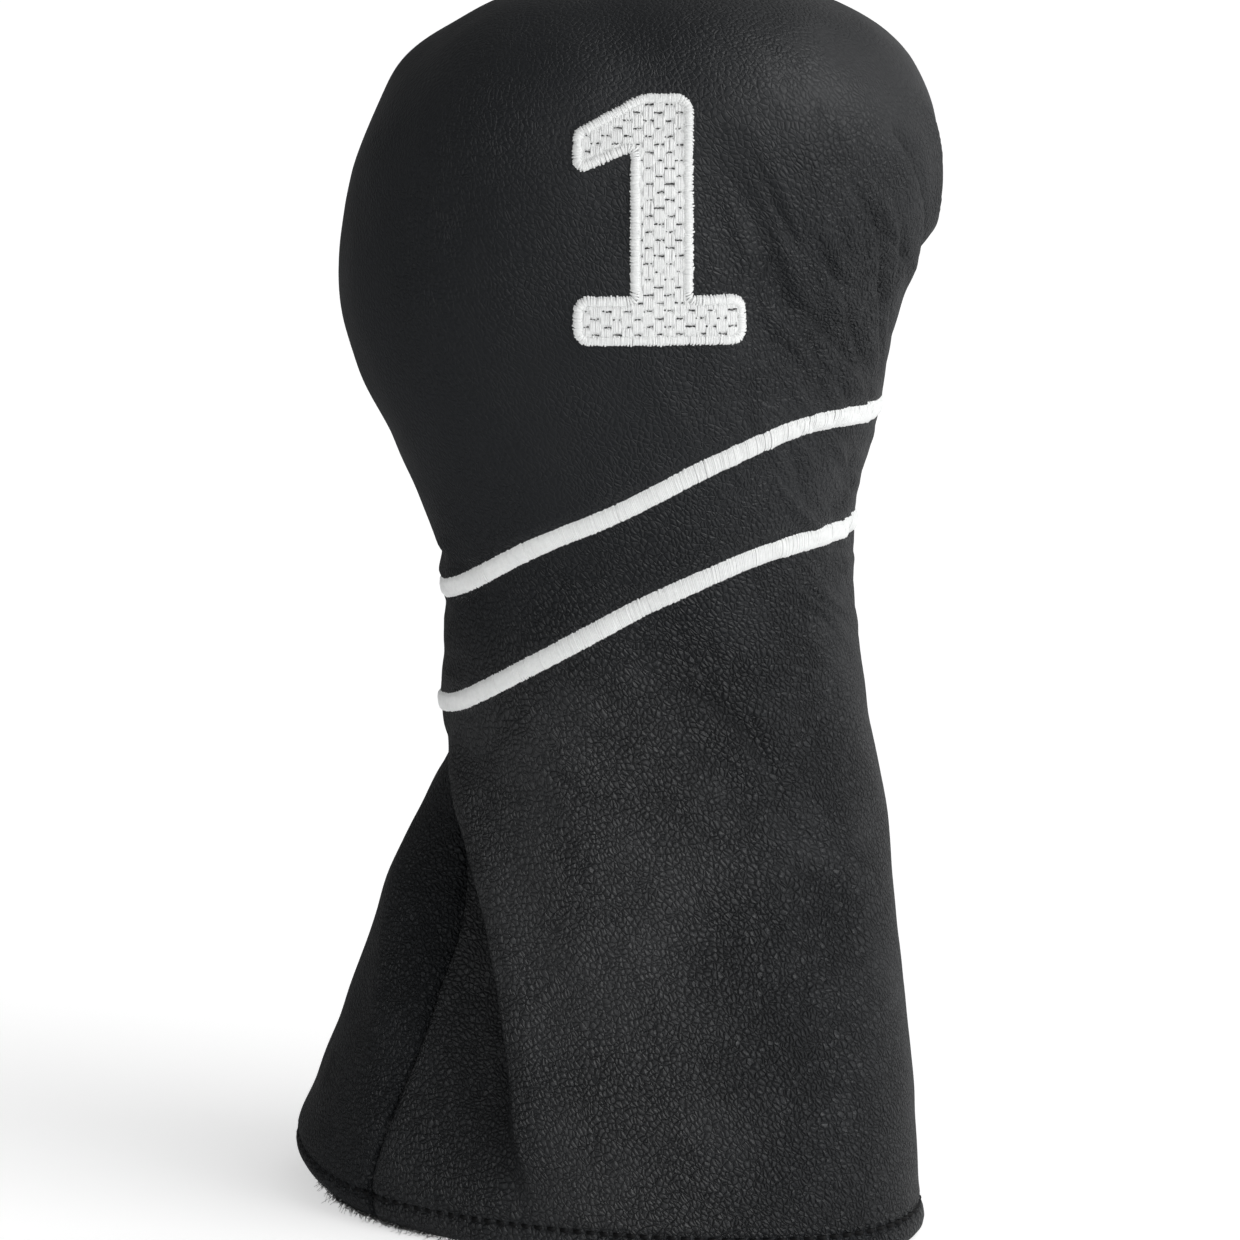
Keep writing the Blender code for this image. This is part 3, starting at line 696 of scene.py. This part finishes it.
def wadding_material():
    """Grey polyester wadding: matted fibres."""
    n = Nodes("grey_wadding")
    at = n.place()
    fibre = n.noise(n.scaled(at, (1, 1, 0.25)), 2600, 4.0, 0.7)
    clump = n.noise(at, 160, 3.0)
    colour = n.mix(n.times(fibre, clump), (0.12, 0.12, 0.125, 1), (0.42, 0.42, 0.43, 1))
    return n.finish(Base_Color=colour, Roughness=0.92, Normal=n.bump(fibre, 0.0006, 0.9))


def elastic_material():
    """Woven elastic: ribs along the band, with a fine cross weave."""
    n = Nodes("woven_elastic")
    at = n.place()
    wave = {"Vector": at, "Scale": 105.0, "Distortion": 0.4}
    ribs = n.add("ShaderNodeTexWave", wave, bands_direction="Z")
    weave = n.noise(at, 4200, 2.0)
    height = n.math("ADD", ribs.outputs["Fac"], n.times(weave, 0.4))
    colour = n.mix(height, (0.45, 0.45, 0.43, 1), (0.78, 0.78, 0.75, 1))
    return n.finish(Base_Color=colour, Roughness=0.8, Normal=n.bump(height, 0.0004, 0.8))


# --------------------------------------------------------------------------------------- leather


def turned_profile(radius, steps=9):
    """Height and depth of the hem's turn, from the outer face round to the inner one."""
    centre = TURN_DEPTH / 2
    turn = np.linspace(0, math.pi, steps)
    arc = [(centre - radius * math.sin(t), centre - radius * math.cos(t)) for t in turn]
    inside = centre + radius
    return arc + [(h, inside) for h in (7, 11, 15, TURN_UP)]


def seam_columns(count, width=215):
    """Shares across a panel, crowded at both seams, where the hide rolls in."""
    close = np.array((0, 0.25, 0.5, 0.8, 1.2, 1.8)) / width
    return np.concatenate([close, np.linspace(2.6 / width, 1 - 2.6 / width, count), 1 - close[::-1]])


def seam_dip(angle, start, end, level):
    """How far the hide rolls in beside the seams."""
    per_degree = degree_length(angle, level)
    away = np.minimum(angle - start[:, None], end[:, None] - angle) * per_degree
    height = form(level)[..., 0]
    open_up = smooth(0.3, 3.0, np.degrees(per_degree))
    pucker = 1 + 0.35 * np.sin(height * 2 * math.pi / 3.4 + 0.6 * np.sin(height / 7))
    return open_up * (1.25 * bell(away, 0.75) + 0.35 * pucker * bell(away, 3.0))


def leather_panel(name, node, front, spacing, columns, material):
    """A hide panel: its outer face with all the relief, the hem's turn, and its flesh side."""
    across = PANEL_GAP / 2, front, seam_columns(columns)
    start, end, angle, spread = panel_grid(level_of(rows_of_height(spacing)), *across)
    pressed = relief(angle, spread) + seam_dip(angle, start, end, spread)
    normal = outward(angle, spread)
    outside = base(angle, spread) - normal * pressed[..., None]
    inside = outside - 0.5 * LEATHER * (normal + grid_normals(outside))
    skins = [[outside], [inside]]
    for skin, radius in zip(skins, (TURN_DEPTH / 2, TURN_DEPTH / 2 - LEATHER)):
        for height, depth in turned_profile(radius):
            first, last, turned, row = panel_grid(level_of(np.array([float(height)])), *across)
            dip = seam_dip(turned, first, last, row) * math.cos(min(1.0, depth / TURN_DEPTH) * math.pi)
            flare = trims(turned, form(row)[..., 0]) * (1 - depth / TURN_DEPTH)
            skin.append(base(turned, row) - outward(turned, row) * (depth + dip + flare)[..., None])
    outer, inner = (np.concatenate(skin) for skin in skins)
    piece = shell(name, node, outer, inner, material)
    x, z = outer[..., 0], outer[..., 2]
    right = smooth(0, 55, x)
    grain = 0.24 + 0.86 * smooth(200, 130, z)
    grain = grain + 0.36 * right * smooth(150, 215, z) * smooth(285, 250, z)
    drawn = smooth(15, 55, x) * smooth(150, 185, z) * smooth(280, 245, z) + 0.55 * smooth(160, 120, z)
    # Where the lower front is painted lighter, partly as dust and partly as painted light: under 122 to
    # 160 mm, fading to the right and by the pleat's valley.
    by_pleat = smooth(-5, -20, x) * smooth(75, 30, z)
    dust_and_painted_light = front * smooth(160, 122, z) * (1 - 0.9 * smooth(5, 50, x)) * (1 - 0.5 * by_pleat)
    for look, values, flesh in (("grain", grain, 0.3), ("drawn", drawn, 0), ("dust_and_painted_light", dust_and_painted_light, 0)):
        set_attribute(piece, look, np.concatenate([values.ravel(), flesh * values.ravel()]))


# ---------------------------------------------------------------------------------------- thread


def tubes(paths, normals, width, height, sides):
    """Vertices and faces of many threads at once. paths is threads x points x 3, in mm."""
    forward = unit(np.gradient(paths, axis=1))
    side = unit(np.cross(forward, normals))
    up = np.cross(side, forward)
    turn = 2 * math.pi * np.arange(sides) / sides
    ring = (
        paths[:, :, None]
        + side[:, :, None] * (np.cos(turn) * width / 2)[None, None, :, None]
        + up[:, :, None] * (np.sin(turn) * height / 2)[None, None, :, None]
    )
    threads, points = paths.shape[:2]
    first = np.arange(threads * points * sides).reshape(threads, points, sides)
    a, b = first[:, :-1], first[:, 1:]
    faces = np.stack([a, np.roll(a, -1, 2), np.roll(b, -1, 2), b], -1).reshape(-1, 4)
    return ring.reshape(-1, 3), faces


def sew(name, node, paths, normals, width, height, material, sides=6):
    """Threads along paths, in place of a node of the frame if one is named."""
    vertices, faces = tubes(paths, normals, width, height, sides)
    piece = mesh_object(name, vertices, faces, material)
    if node:
        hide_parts(node)


def arch(steps):
    """A stitch's rise over its length: from the cloth, over, and back into it."""
    s = np.linspace(0, 1, steps)
    return np.sin(math.pi * s) ** 0.45


def satin_between(name, node, one_edge, other_edge, material, lift, seed):
    """Satin stitch: threads laid side by side from one edge to the other, over a soft filling.

    The edges are arrays of (angle, level), one entry for each thread."""
    random = np.random.default_rng(seed)
    steps = 7
    s = np.linspace(0, 1, steps)[None, :, None]
    count = len(one_edge)
    path = one_edge[:, None] * (1 - s) + other_edge[:, None] * s
    path = path + random.normal(0, 1, (count, 1, 2)) * np.array((0.05, 0.0015))
    angle, level = path[..., 0], path[..., 1]
    rise = arch(steps)[None, :] * lift * (1 + random.normal(0, 0.05, (count, 1))) - 0.12
    points = hide_points(angle, level, -rise)
    stretch = 1 + random.normal(0, 0.035, (count, 1, 1))
    middle = points.mean(axis=1, keepdims=True)
    points = middle + (points - middle) * stretch
    sew(name, node, points, outward(angle, level), 0.50, 0.36, material)


def stripe(name, node, centre, material, seed):
    """A satin stripe across the front panel, from seam to seam."""
    x = np.linspace(-60, 76, 1400)
    height = curve(centre, x)
    level = level_of(height)
    angle = front_angle(x, level)
    start, end = edge_angles(level, 0.6, True)
    free = (angle > np.maximum(start, 180.3)) & (angle < np.minimum(end, 359.9))
    angle, height = angle[free], height[free]
    first, last = edge_angles(level_of(height[[0, -1]]), 0.6, True)
    angle = np.concatenate([first[:1], angle, last[1:]])
    height = np.concatenate([height[:1], height, height[-1:]])
    run = run_length(base(angle, level_of(height)))
    at = np.arange(0, run[-1], THREAD_PITCH)
    angle, height = np.interp(at, run, angle), np.interp(at, run, height)
    points = base(angle, level_of(height))
    along = unit(np.gradient(points, axis=0))
    over = np.cross(outward(angle, level_of(height)), along)
    edges = []
    for way in (1, -1):
        target = points + way * STRIPE_WIDTH / 2 * (over + STRIPE_LEAN * along)
        edges.append(locate(target, angle, height))
    underlay(name + "_underlay", edges, material)
    satin_between(name, node, *edges, material, 0.8, seed)


def underlay(name, edges, material):
    """The padding stitches under satin, as one low soft ribbon between its edges."""
    share = np.array((0.06, 0.2, 0.5, 0.8, 0.94))[None, :, None]
    path = edges[0][:, None] * (1 - share) + edges[1][:, None] * share
    rise = np.array((-0.25, 0.25, 0.5, 0.25, -0.25))[None, :]
    points = hide_points(path[..., 0], path[..., 1], -rise)
    faces = grid_faces(np.arange(points[..., 0].size).reshape(points.shape[:2]))[:, [0, 3, 2, 1]]
    mesh_object(name, points.reshape(-1, 3), faces, material)


def locate(target, angle, height):
    """The (angle, level) of points close to the surface, found from a first guess."""
    angle, level = angle.copy(), level_of(height)
    for _ in range(4):
        here = base(angle, level)
        by_angle = (base(angle + 0.1, level) - here) / 0.1
        by_level = (base(angle, level + 0.01) - here) / 0.01
        miss = target - here
        aa, ll = (by_angle**2).sum(1), (by_level**2).sum(1)
        al = (by_angle * by_level).sum(1)
        ma, ml = (miss * by_angle).sum(1), (miss * by_level).sum(1)
        spread = aa * ll - al**2
        angle = angle + (ma * ll - ml * al) / spread
        level = level + (ml * aa - ma * al) / spread
    return np.stack([angle, level], -1)


def rounded(corners, radii, steps=10):
    """An outline with its corners rounded by arcs."""
    points = []
    for i, (corner, radius) in enumerate(zip(corners, radii)):
        corner = np.array(corner, float)
        before = unit(np.array(corners[i - 1], float) - corner)
        after = unit(np.array(corners[(i + 1) % len(corners)], float) - corner)
        half = math.acos(np.clip(before @ after, -1, 1)) / 2
        reach = radius / math.tan(half)
        centre = corner + unit(before + after) * radius / math.sin(half)
        first, last = corner + before * reach - centre, corner + after * reach - centre
        for k in range(steps + 1):
            arm = first * (1 - k / steps) + last * k / steps
            points.append(centre + unit(arm) * radius)
    return np.array(points)


def numeral_outline():
    """The figure 1 with a flag and a slab foot, anticlockwise from the foot's lower left, in mm."""
    corners = (
        (-20, 0), (20, 0), (20, 11.2), (7.4, 11.2), (7.4, 58), (-4.5, 58),
        (-20.2, 49.2), (-20.2, 39.2), (-6.8, 45), (-6.8, 11.2), (-20, 11.2),
    )
    radii = (3.4, 3.4, 3.4, 0.6, 4.4, 5, 2.8, 2.2, 0.6, 0.6, 3.4)
    return rounded(corners, radii)


def along_outline(outline, spacing):
    """Evenly spaced points of a closed outline, with the inward normal at each."""
    closed = np.vstack([outline, outline[:1]])
    run = run_length(closed)
    at = np.linspace(0, run[-1], round(run[-1] / spacing), endpoint=False)
    points = np.stack([np.interp(at, run, closed[:, k]) for k in (0, 1)], -1)
    forward = unit(np.roll(points, -3, 0) - np.roll(points, 3, 0))
    return points, np.stack([-forward[:, 1], forward[:, 0]], 1)


def on_front(points):
    """(angle, level) of the numeral's flat (x, y) points."""
    level = level_of(NUMERAL_AT[1] + points[..., 1].ravel())
    angle = front_angle(NUMERAL_AT[0] + points[..., 0].ravel(), level)
    return np.stack([angle, level], -1).reshape(points.shape)


def numeral_border(material):
    """The satin border round the numeral."""
    points, inward = along_outline(numeral_outline(), 0.38)
    random = np.random.default_rng(5)
    teeth = np.where(np.arange(len(points)) % 2 == 0, 0.08, -0.08)[:, None]
    outer = points - inward * (0.12 + teeth + random.normal(0, 0.09, (len(points), 1)))
    inner = points + inward * (NUMERAL_BORDER + random.normal(0, 0.06, (len(points), 1)))
    under = [np.vstack([edge, edge[:1]]) for edge in (points, points + inward * NUMERAL_BORDER)]
    underlay("numeral_border_underlay", [on_front(edge) for edge in under], material)
    edges = on_front(outer), on_front(inner)
    satin_between("numeral_border_satin", "numeral_border", *edges, material, 0.95, 6)


def inside_outline(points, outline):
    """Which points lie inside a closed outline, by counting the edges to their right."""
    x, y = points[..., 0, None], points[..., 1, None]
    (x0, y0), (x1, y1) = outline.T, np.roll(outline, -1, 0).T
    rise = np.where(y1 == y0, 1e-9, y1 - y0)
    crossed = ((y0 > y) != (y1 > y)) & (x < (x1 - x0) * (y - y0) / rise + x0)
    return crossed.sum(-1) % 2 == 1


def numeral_fill(material, hole):
    """The woven field: upright threads in bricks, with needle holes where a brick's threads dive."""
    points, inward = along_outline(numeral_outline(), 0.5)
    field = points + inward * (NUMERAL_BORDER - 0.5)
    clear = points + inward * (NUMERAL_BORDER + 0.25)
    random = np.random.default_rng(8)
    brick, course, thread = np.meshgrid(
        np.arange(-9, 10), np.arange(-2, 18), np.arange(THREADS_PER_BRICK), indexing="ij"
    )
    size = brick.shape
    x = BRICK_AT[0] + (brick + (thread + 0.5) / THREADS_PER_BRICK - 0.5) * BRICK[0]
    low = BRICK_AT[1] + (course + (brick % 2) / 2) * BRICK[1]
    bottom = low + 0.12 + random.normal(0, 0.05, size)
    top = low + BRICK[1] - 0.12 + random.normal(0, 0.05, size)
    share = np.linspace(0, 1, 14)
    span = bottom[..., None] * (1 - share) + top[..., None] * share
    held = inside_outline(np.stack([x[..., None] + 0 * span, span], -1), field)
    sewn = held.sum(-1) > 3
    first = np.where(held, span, np.inf).min(-1)[sewn]
    last = np.where(held, span, -np.inf).max(-1)[sewn]
    sway = random.normal(0, 0.03, len(first))
    one = on_front(np.stack([x[sewn], first], -1))
    other = on_front(np.stack([x[sewn] + sway, last], -1))

    at = np.stack([x + random.normal(0, 0.05, size), low + random.normal(0, 0.07, size)], -1)
    width = random.uniform(-0.12, 0.5, size)
    at_side = (thread == 0) | (thread == THREADS_PER_BRICK - 1)
    open_hole = (width > np.where(at_side, 0.22, 0)) & inside_outline(at, clear)
    holes = np.concatenate([at[open_hole], 0.17 + 0.44 * width[open_hole][:, None]], axis=1)
    needle_holes("numeral_needle_holes", holes, hole)
    base_layer(field, material)
    satin_between("numeral_fill_threads", "numeral_fill", one, other, material, 0.62, 9)


def base_layer(outline, material):
    """A flat layer of white threads under the numeral's field."""
    rows = []
    x = np.linspace(-22, 22, 221)
    for y in np.arange(0.5, 58, 0.8):
        held = inside_outline(np.stack([x, y + 0 * x], -1), outline)
        for run in np.split(np.arange(len(x)), np.where(np.diff(held.astype(int)) != 0)[0] + 1):
            if held[run[0]] and len(run) > 6:
                rows.append(np.stack([np.linspace(x[run[0]], x[run[-1]], 12), np.full(12, y)], -1))
    angle, level = np.moveaxis(on_front(np.array(rows)), -1, 0)
    points, normals = hide_points(angle, level, -0.10), outward(angle, level)
    sew("numeral_base_layer", None, points, normals, 1.0, 0.22, material)


def needle_holes(name, holes, material):
    """Dark pits in the embroidery: (x, y, size) each, as small sunk discs."""
    turn = np.linspace(0, 2 * math.pi, 8, endpoint=False)
    ring = np.stack([np.cos(turn) * 0.8, np.sin(turn) * 0.62], -1)
    flat = holes[:, None, :2] + holes[:, None, 2:] * ring[None]
    rim = hide_points(*np.moveaxis(on_front(flat), -1, 0), -0.50)
    pit = hide_points(*on_front(holes[:, :2]).T, -0.42)[:, None]
    points = np.concatenate([rim, pit], axis=1)
    first = np.arange(len(holes)) * 9
    faces = [np.stack([first + k, first + (k + 1) % 8, first + 8], -1) for k in range(8)]
    mesh_object(name, points.reshape(-1, 3), np.concatenate(faces), material)


# ---------------------------------------------------------------------------- construction seams


def stitch_row(name, node, angle, height, pitch, material, wide=0.72, margin=0.11):
    """A row of lock stitches along a line on the hide, each rising out of one hole into the next."""
    run = run_length(base(angle, level_of(height)))
    count = round(run[-1] / pitch)
    pitch = run[-1] / count
    steps = 9
    s = (np.arange(count)[:, None] + np.linspace(margin, 1 - margin, steps)[None, :]) * pitch
    random = np.random.default_rng(len(name))
    tilt = np.linspace(-0.5, 0.5, steps)[None, :] * (0.05 + random.normal(0, 0.03, (count, 1)))
    along, up = np.interp(s, run, angle), np.interp(s, run, height) + tilt
    rise = arch(steps)[None, :] * (0.42 + random.normal(0, 0.03, (count, 1))) - 0.22
    level = level_of(up)
    points = hide_points(along, level, -rise)
    sew(name, node, points, outward(along, level), wide, 0.52, material, sides=8)


def seam_thread(name, node, material):
    """The closing seam's stitches, down in the groove between the rolled edges of the two panels."""
    heights = np.linspace(TURN_UP + 2, 309.5, 1500)
    parts = []
    for seam in (LEFT_SEAM, RIGHT_SEAM):
        line = curve(seam, heights)
        run = run_length(base(line, level_of(heights)))
        at = np.arange(1.0, run[-1] - 0.5, SEAM_PITCH)
        angle, height = np.interp(at, run, line), np.interp(at, run, heights)
        reach = np.minimum(0.45 / np.maximum(degree_length(angle, level_of(height)), 0.02), 40)
        s = np.linspace(-1, 1, 7)[None, :]
        across = angle[:, None] + s * reach[:, None]
        level = level_of(np.interp(at[:, None] + 0.35 * s, run, heights))
        parts.append((hide_points(across, level, 1.9 + 0.4 * s**2), outward(across, level)))
    points, normals = (np.concatenate(part) for part in zip(*parts))
    sew(name, node, points, normals, 0.6, 0.5, material)


# --------------------------------------------------------------------------- padding and lining


def lining_hollow(angle, level):
    """How far the inner layers are pressed in over the pleat, calmer than the hide's fold."""
    height = form(level)[..., 0]
    spread = curve(PLEAT_SPREAD, height)
    away = degrees_apart(angle, curve(PLEAT_CREST, height) - 0.3 * spread) / (0.95 * spread)
    return 1.12 * curve(PLEAT_DEPTH, height) * np.exp(-1.2 * away**4)


def deepest(angle, level):
    """The deepest that the hide is pressed in close round each point, so that layers under it clear it."""
    found = np.zeros(angle.shape)
    for turn, step in ((0, 0), (1.6, 0), (-1.6, 0), (0, 0.09), (0, -0.09), (1.2, 0.07), (-1.2, -0.07)):
        found = np.maximum(found, relief(angle + turn, np.clip(level + step, 0, TOP_LEVEL)))
    return found


def layer(name, node, front, heights, columns, depths, material, slot, fuzz=0.0, seed=0):
    """A soft layer inside the hide. Each entry of depths is a height, its outer and its inner depth."""
    angle, spread = panel_grid(level_of(heights), 1.0, front, np.linspace(0, 1, columns))[2:]
    normal = outward(angle, spread)
    surface = base(angle, spread)
    calm = lining_hollow(angle, spread)
    pressed = deepest(angle, spread)
    at, *sides = np.array(depths, float).T
    outer, inner = (np.interp(heights, at, side)[:, None] for side in sides)
    outer_depth = np.maximum(calm + outer, pressed + outer - 0.1)
    edge = np.minimum(np.linspace(0, 1, columns), np.linspace(1, 0, columns)) * columns
    crush = 1 - 0.35 * bell(edge, 2.5)[None, :]
    inner_depth = np.maximum(calm + inner, outer_depth + 0.6 * (inner - outer))
    inner_depth = outer_depth + (inner_depth - outer_depth) * crush
    if fuzz:
        tuft = noise(surface / 2.1, seed) * 0.6 + noise(surface / 0.9, seed + 1) * 0.4
        inner_depth = inner_depth + fuzz * tuft * smooth(2, 30, surface[..., 2])
    outside = surface - normal * outer_depth[..., None]
    inside = surface - normal * inner_depth[..., None]
    return shell(name, node, outside, inside, material)


def fibres(name, roots, directions, lengths, material, seed, thick):
    """Loose fibres: bent strands, none of which reaches under the hem's foot."""
    random = np.random.default_rng(seed)
    count, steps = len(roots), 6
    s = np.linspace(0, 1, steps)[None, :, None]
    bend = random.normal(0, 0.5, (count, 1, 3))
    path = roots[:, None] + unit(directions)[:, None] * lengths[:, None, None] * s
    path = path + bend * lengths[:, None, None] * s**2 * 0.6
    path[..., 2] = np.maximum(path[..., 2], thick)
    normals = np.tile(np.array((0.3, -1.0, 0.2)), (count, steps, 1))
    sew(name, None, path, normals, thick, thick, material, 3)


def hem_lint(material):
    """Short dark lint that has worked out from under the hem at its raised left."""
    random = np.random.default_rng(21)
    count = 2600
    angle = random.uniform(198, 246, count)
    strength = np.exp(-(((angle - 222) / 17) ** 4))
    keep = random.random(count) < strength
    angle = angle[keep]
    depth = random.uniform(0.9, 3.4, len(angle))
    level = level_of(np.full(len(angle), 0.6))
    roots = base(angle, level) - outward(angle, level) * depth[:, None]
    out = outward(angle, level)
    drift = random.normal(0, 0.35, (len(angle), 3))
    directions = out * random.uniform(0.3, 1.2, (len(angle), 1)) + (0, 0, -0.6) + drift
    lengths = random.uniform(0.5, 1.1, len(angle)) + 1.8 * random.random(len(angle)) ** 8
    fibres("hem_lint", roots, directions, lengths, material, 22, 0.11)


def pile(name, front, material, count, seed):
    """Tufts of pile on the lining's inner face, through the sleeve and mouth."""
    random = np.random.default_rng(seed)
    height = random.uniform(TURN_UP + 1, 120, count)
    level = level_of(height)
    start, end = edge_angles(level, 1.5, front)
    angle = start + (end - start) * random.random(count)
    depth = np.maximum(lining_hollow(angle, level) + 6.2, relief(angle, level) + 6.0)
    out = outward(angle, level)
    roots = base(angle, level) - out * depth[:, None]
    directions = -out + (0, 0, -0.5) + random.normal(0, 0.45, (count, 3))
    fibres(name, roots, directions, random.uniform(1.5, 3.0, count), material, seed + 1, 0.3)


def elastic_band(name, node, material):
    """The neck's elastic, gathered behind the back panel between its two stitch rows."""
    heights = np.linspace(*ELASTIC_ENDS, 57)
    angle, spread = panel_grid(level_of(heights), 3.0, False, np.linspace(0, 1, 160))[2:]
    surface, normal = base(angle, spread), outward(angle, spread)
    pressed = deepest(angle, spread)
    rib = 0.10 * np.cos(heights * 2 * math.pi / 2.2)[:, None]
    outside = surface - normal * (pressed + ELASTIC_DEPTHS[0])[..., None]
    inside = surface - normal * (pressed + ELASTIC_DEPTHS[1] + rib)[..., None]
    shell(name, node, outside, inside, material)


def main():
    hide = leather_material()
    white = thread_material("white_thread", (0.93, 0.94, 0.93, 1), (0.76, 0.77, 0.77, 1), 0.55)
    black = thread_material("black_thread", (0.008, 0.008, 0.009, 1), (0.003, 0.003, 0.003, 1), 0.62, 0.2)
    hole = thread_material("needle_hole", (0.055, 0.055, 0.055, 1), (0.02, 0.02, 0.02, 1), 0.8)
    lint = thread_material("lint", (0.09, 0.09, 0.088, 1), (0.02, 0.02, 0.02, 1), 0.8, 0.2)
    plush, wadding, webbing = plush_material(), wadding_material(), elastic_material()

    leather_panel("front_hide", "front_panel", True, 0.8, 290, hide)
    leather_panel("back_hide", "back_panel", False, 0.8, 250, hide)
    stripe("upper_stripe_satin", "upper_stripe", UPPER_STRIPE, white, 1)
    stripe("lower_stripe_satin", "lower_stripe", LOWER_STRIPE, white, 2)
    numeral_border(white)
    numeral_fill(white, hole)

    turn = np.linspace(0, 360, 2000)
    line = HEM_STITCH_HEIGHT + 0 * turn
    stitch_row("hem_stitches", "hem_topstitch", turn, line, HEM_PITCH, black, 1.15, 0.19)
    for end, height in zip(("lower", "upper"), ELASTIC_STITCH_HEIGHTS):
        start, stop = (float(e[0]) for e in edge_angles(level_of(np.array([float(height)])), 3.0, False))
        turn = np.linspace(start, stop, 1200)
        node = f"elastic_stitch_{end}"
        stitch_row(f"elastic_stitches_{end}", node, turn, height + 0 * turn, ELASTIC_PITCH, black)
    seam_thread("closing_seam_stitches", "closing_seam_thread", black)

    crown = np.linspace(CROWN_TOP, CROWN_FOOT, 70)
    rows = np.concatenate([np.linspace(CROWN_TOP, TURN_UP, 200), [14, 9, 5, 2.8]])
    for side, front in (("front", True), ("back", False)):
        names = f"{side}_wadding", f"{side}_padding"
        pad = layer(*names, front, crown, 90, WADDING_DEPTHS, wadding, "foam_padding")
        names = f"{side}_plush", f"{side}_lining"
        layer(*names, front, rows, 110, LINING_DEPTHS, plush, "plush_lining", 0.9, 31)
        pile(f"{side}_pile", front, plush, 5000, 40 + front)
    elastic_band("neck_webbing", "neck_elastic", webbing)
    hem_lint(lint)


def studio():
    """Camera, pale floor, and soft light from the right and the front."""
    camera = add_object("camera", bpy.data.cameras.new("camera"))
    target = Vector((0.0031, 0.0012, 0.1486))
    rise = math.radians(10)
    camera.location = target + Vector((0, -math.cos(rise), math.sin(rise)))
    camera.rotation_euler = (math.pi / 2 - rise, 0, 0)
    camera.data.lens = 116.1
    bpy.context.scene.camera = camera

    mesh = bpy.data.meshes.new("floor")
    reach = 30
    corners = [(-reach, -reach, 0), (reach, -reach, 0), (reach, reach, 0), (-reach, reach, 0)]
    mesh.from_pydata(corners, [], [(0, 1, 2, 3)])
    white = (1, 1, 1, 1)
    n = Nodes("pale_floor")
    n.finish(Base_Color=(0.85, 0.85, 0.85, 1), Roughness=0.9)
    mesh.materials.append(n.finish(Emission_Color=white, Emission_Strength=0.55))
    floor = add_object("floor", mesh)
    floor.visible_glossy = False

    suns = (  # direction it comes from, soft angle, strength
        ("side_low", (0.84, -0.40, 0.36), 35, 0.62),
        ("side", (0.66, -0.34, 0.66), 35, 0.62),
        ("side_high", (0.42, -0.18, 0.91), 35, 0.34),
        ("front", (0.04, -0.92, 0.36), 45, 0.46),
    )
    for name, place, angle, strength in suns:
        light = bpy.data.lights.new(name, "SUN")
        light.angle, light.energy = math.radians(angle), strength
        lamp = add_object(name, light)
        lamp.rotation_euler = Vector(place).to_track_quat("Z", "Y").to_euler()

    n = Nodes("studio", bpy.data.worlds, "Background")
    place = n.add("ShaderNodeSeparateXYZ", {0: n.add("ShaderNodeTexCoord").outputs["Generated"]})
    glow = n.ramp(place.outputs["X"], -0.2, 1.0, 0.115, 0.70)
    seen = n.add("ShaderNodeLightPath").outputs["Is Camera Ray"]
    strength = n.add("ShaderNodeMapRange", {"Value": seen, "To Min": glow, "To Max": 1.0})
    bpy.context.scene.world = n.finish(Color=white, Strength=strength.outputs["Result"])
    bpy.context.scene.view_settings.view_transform = "Standard"


main()
studio()
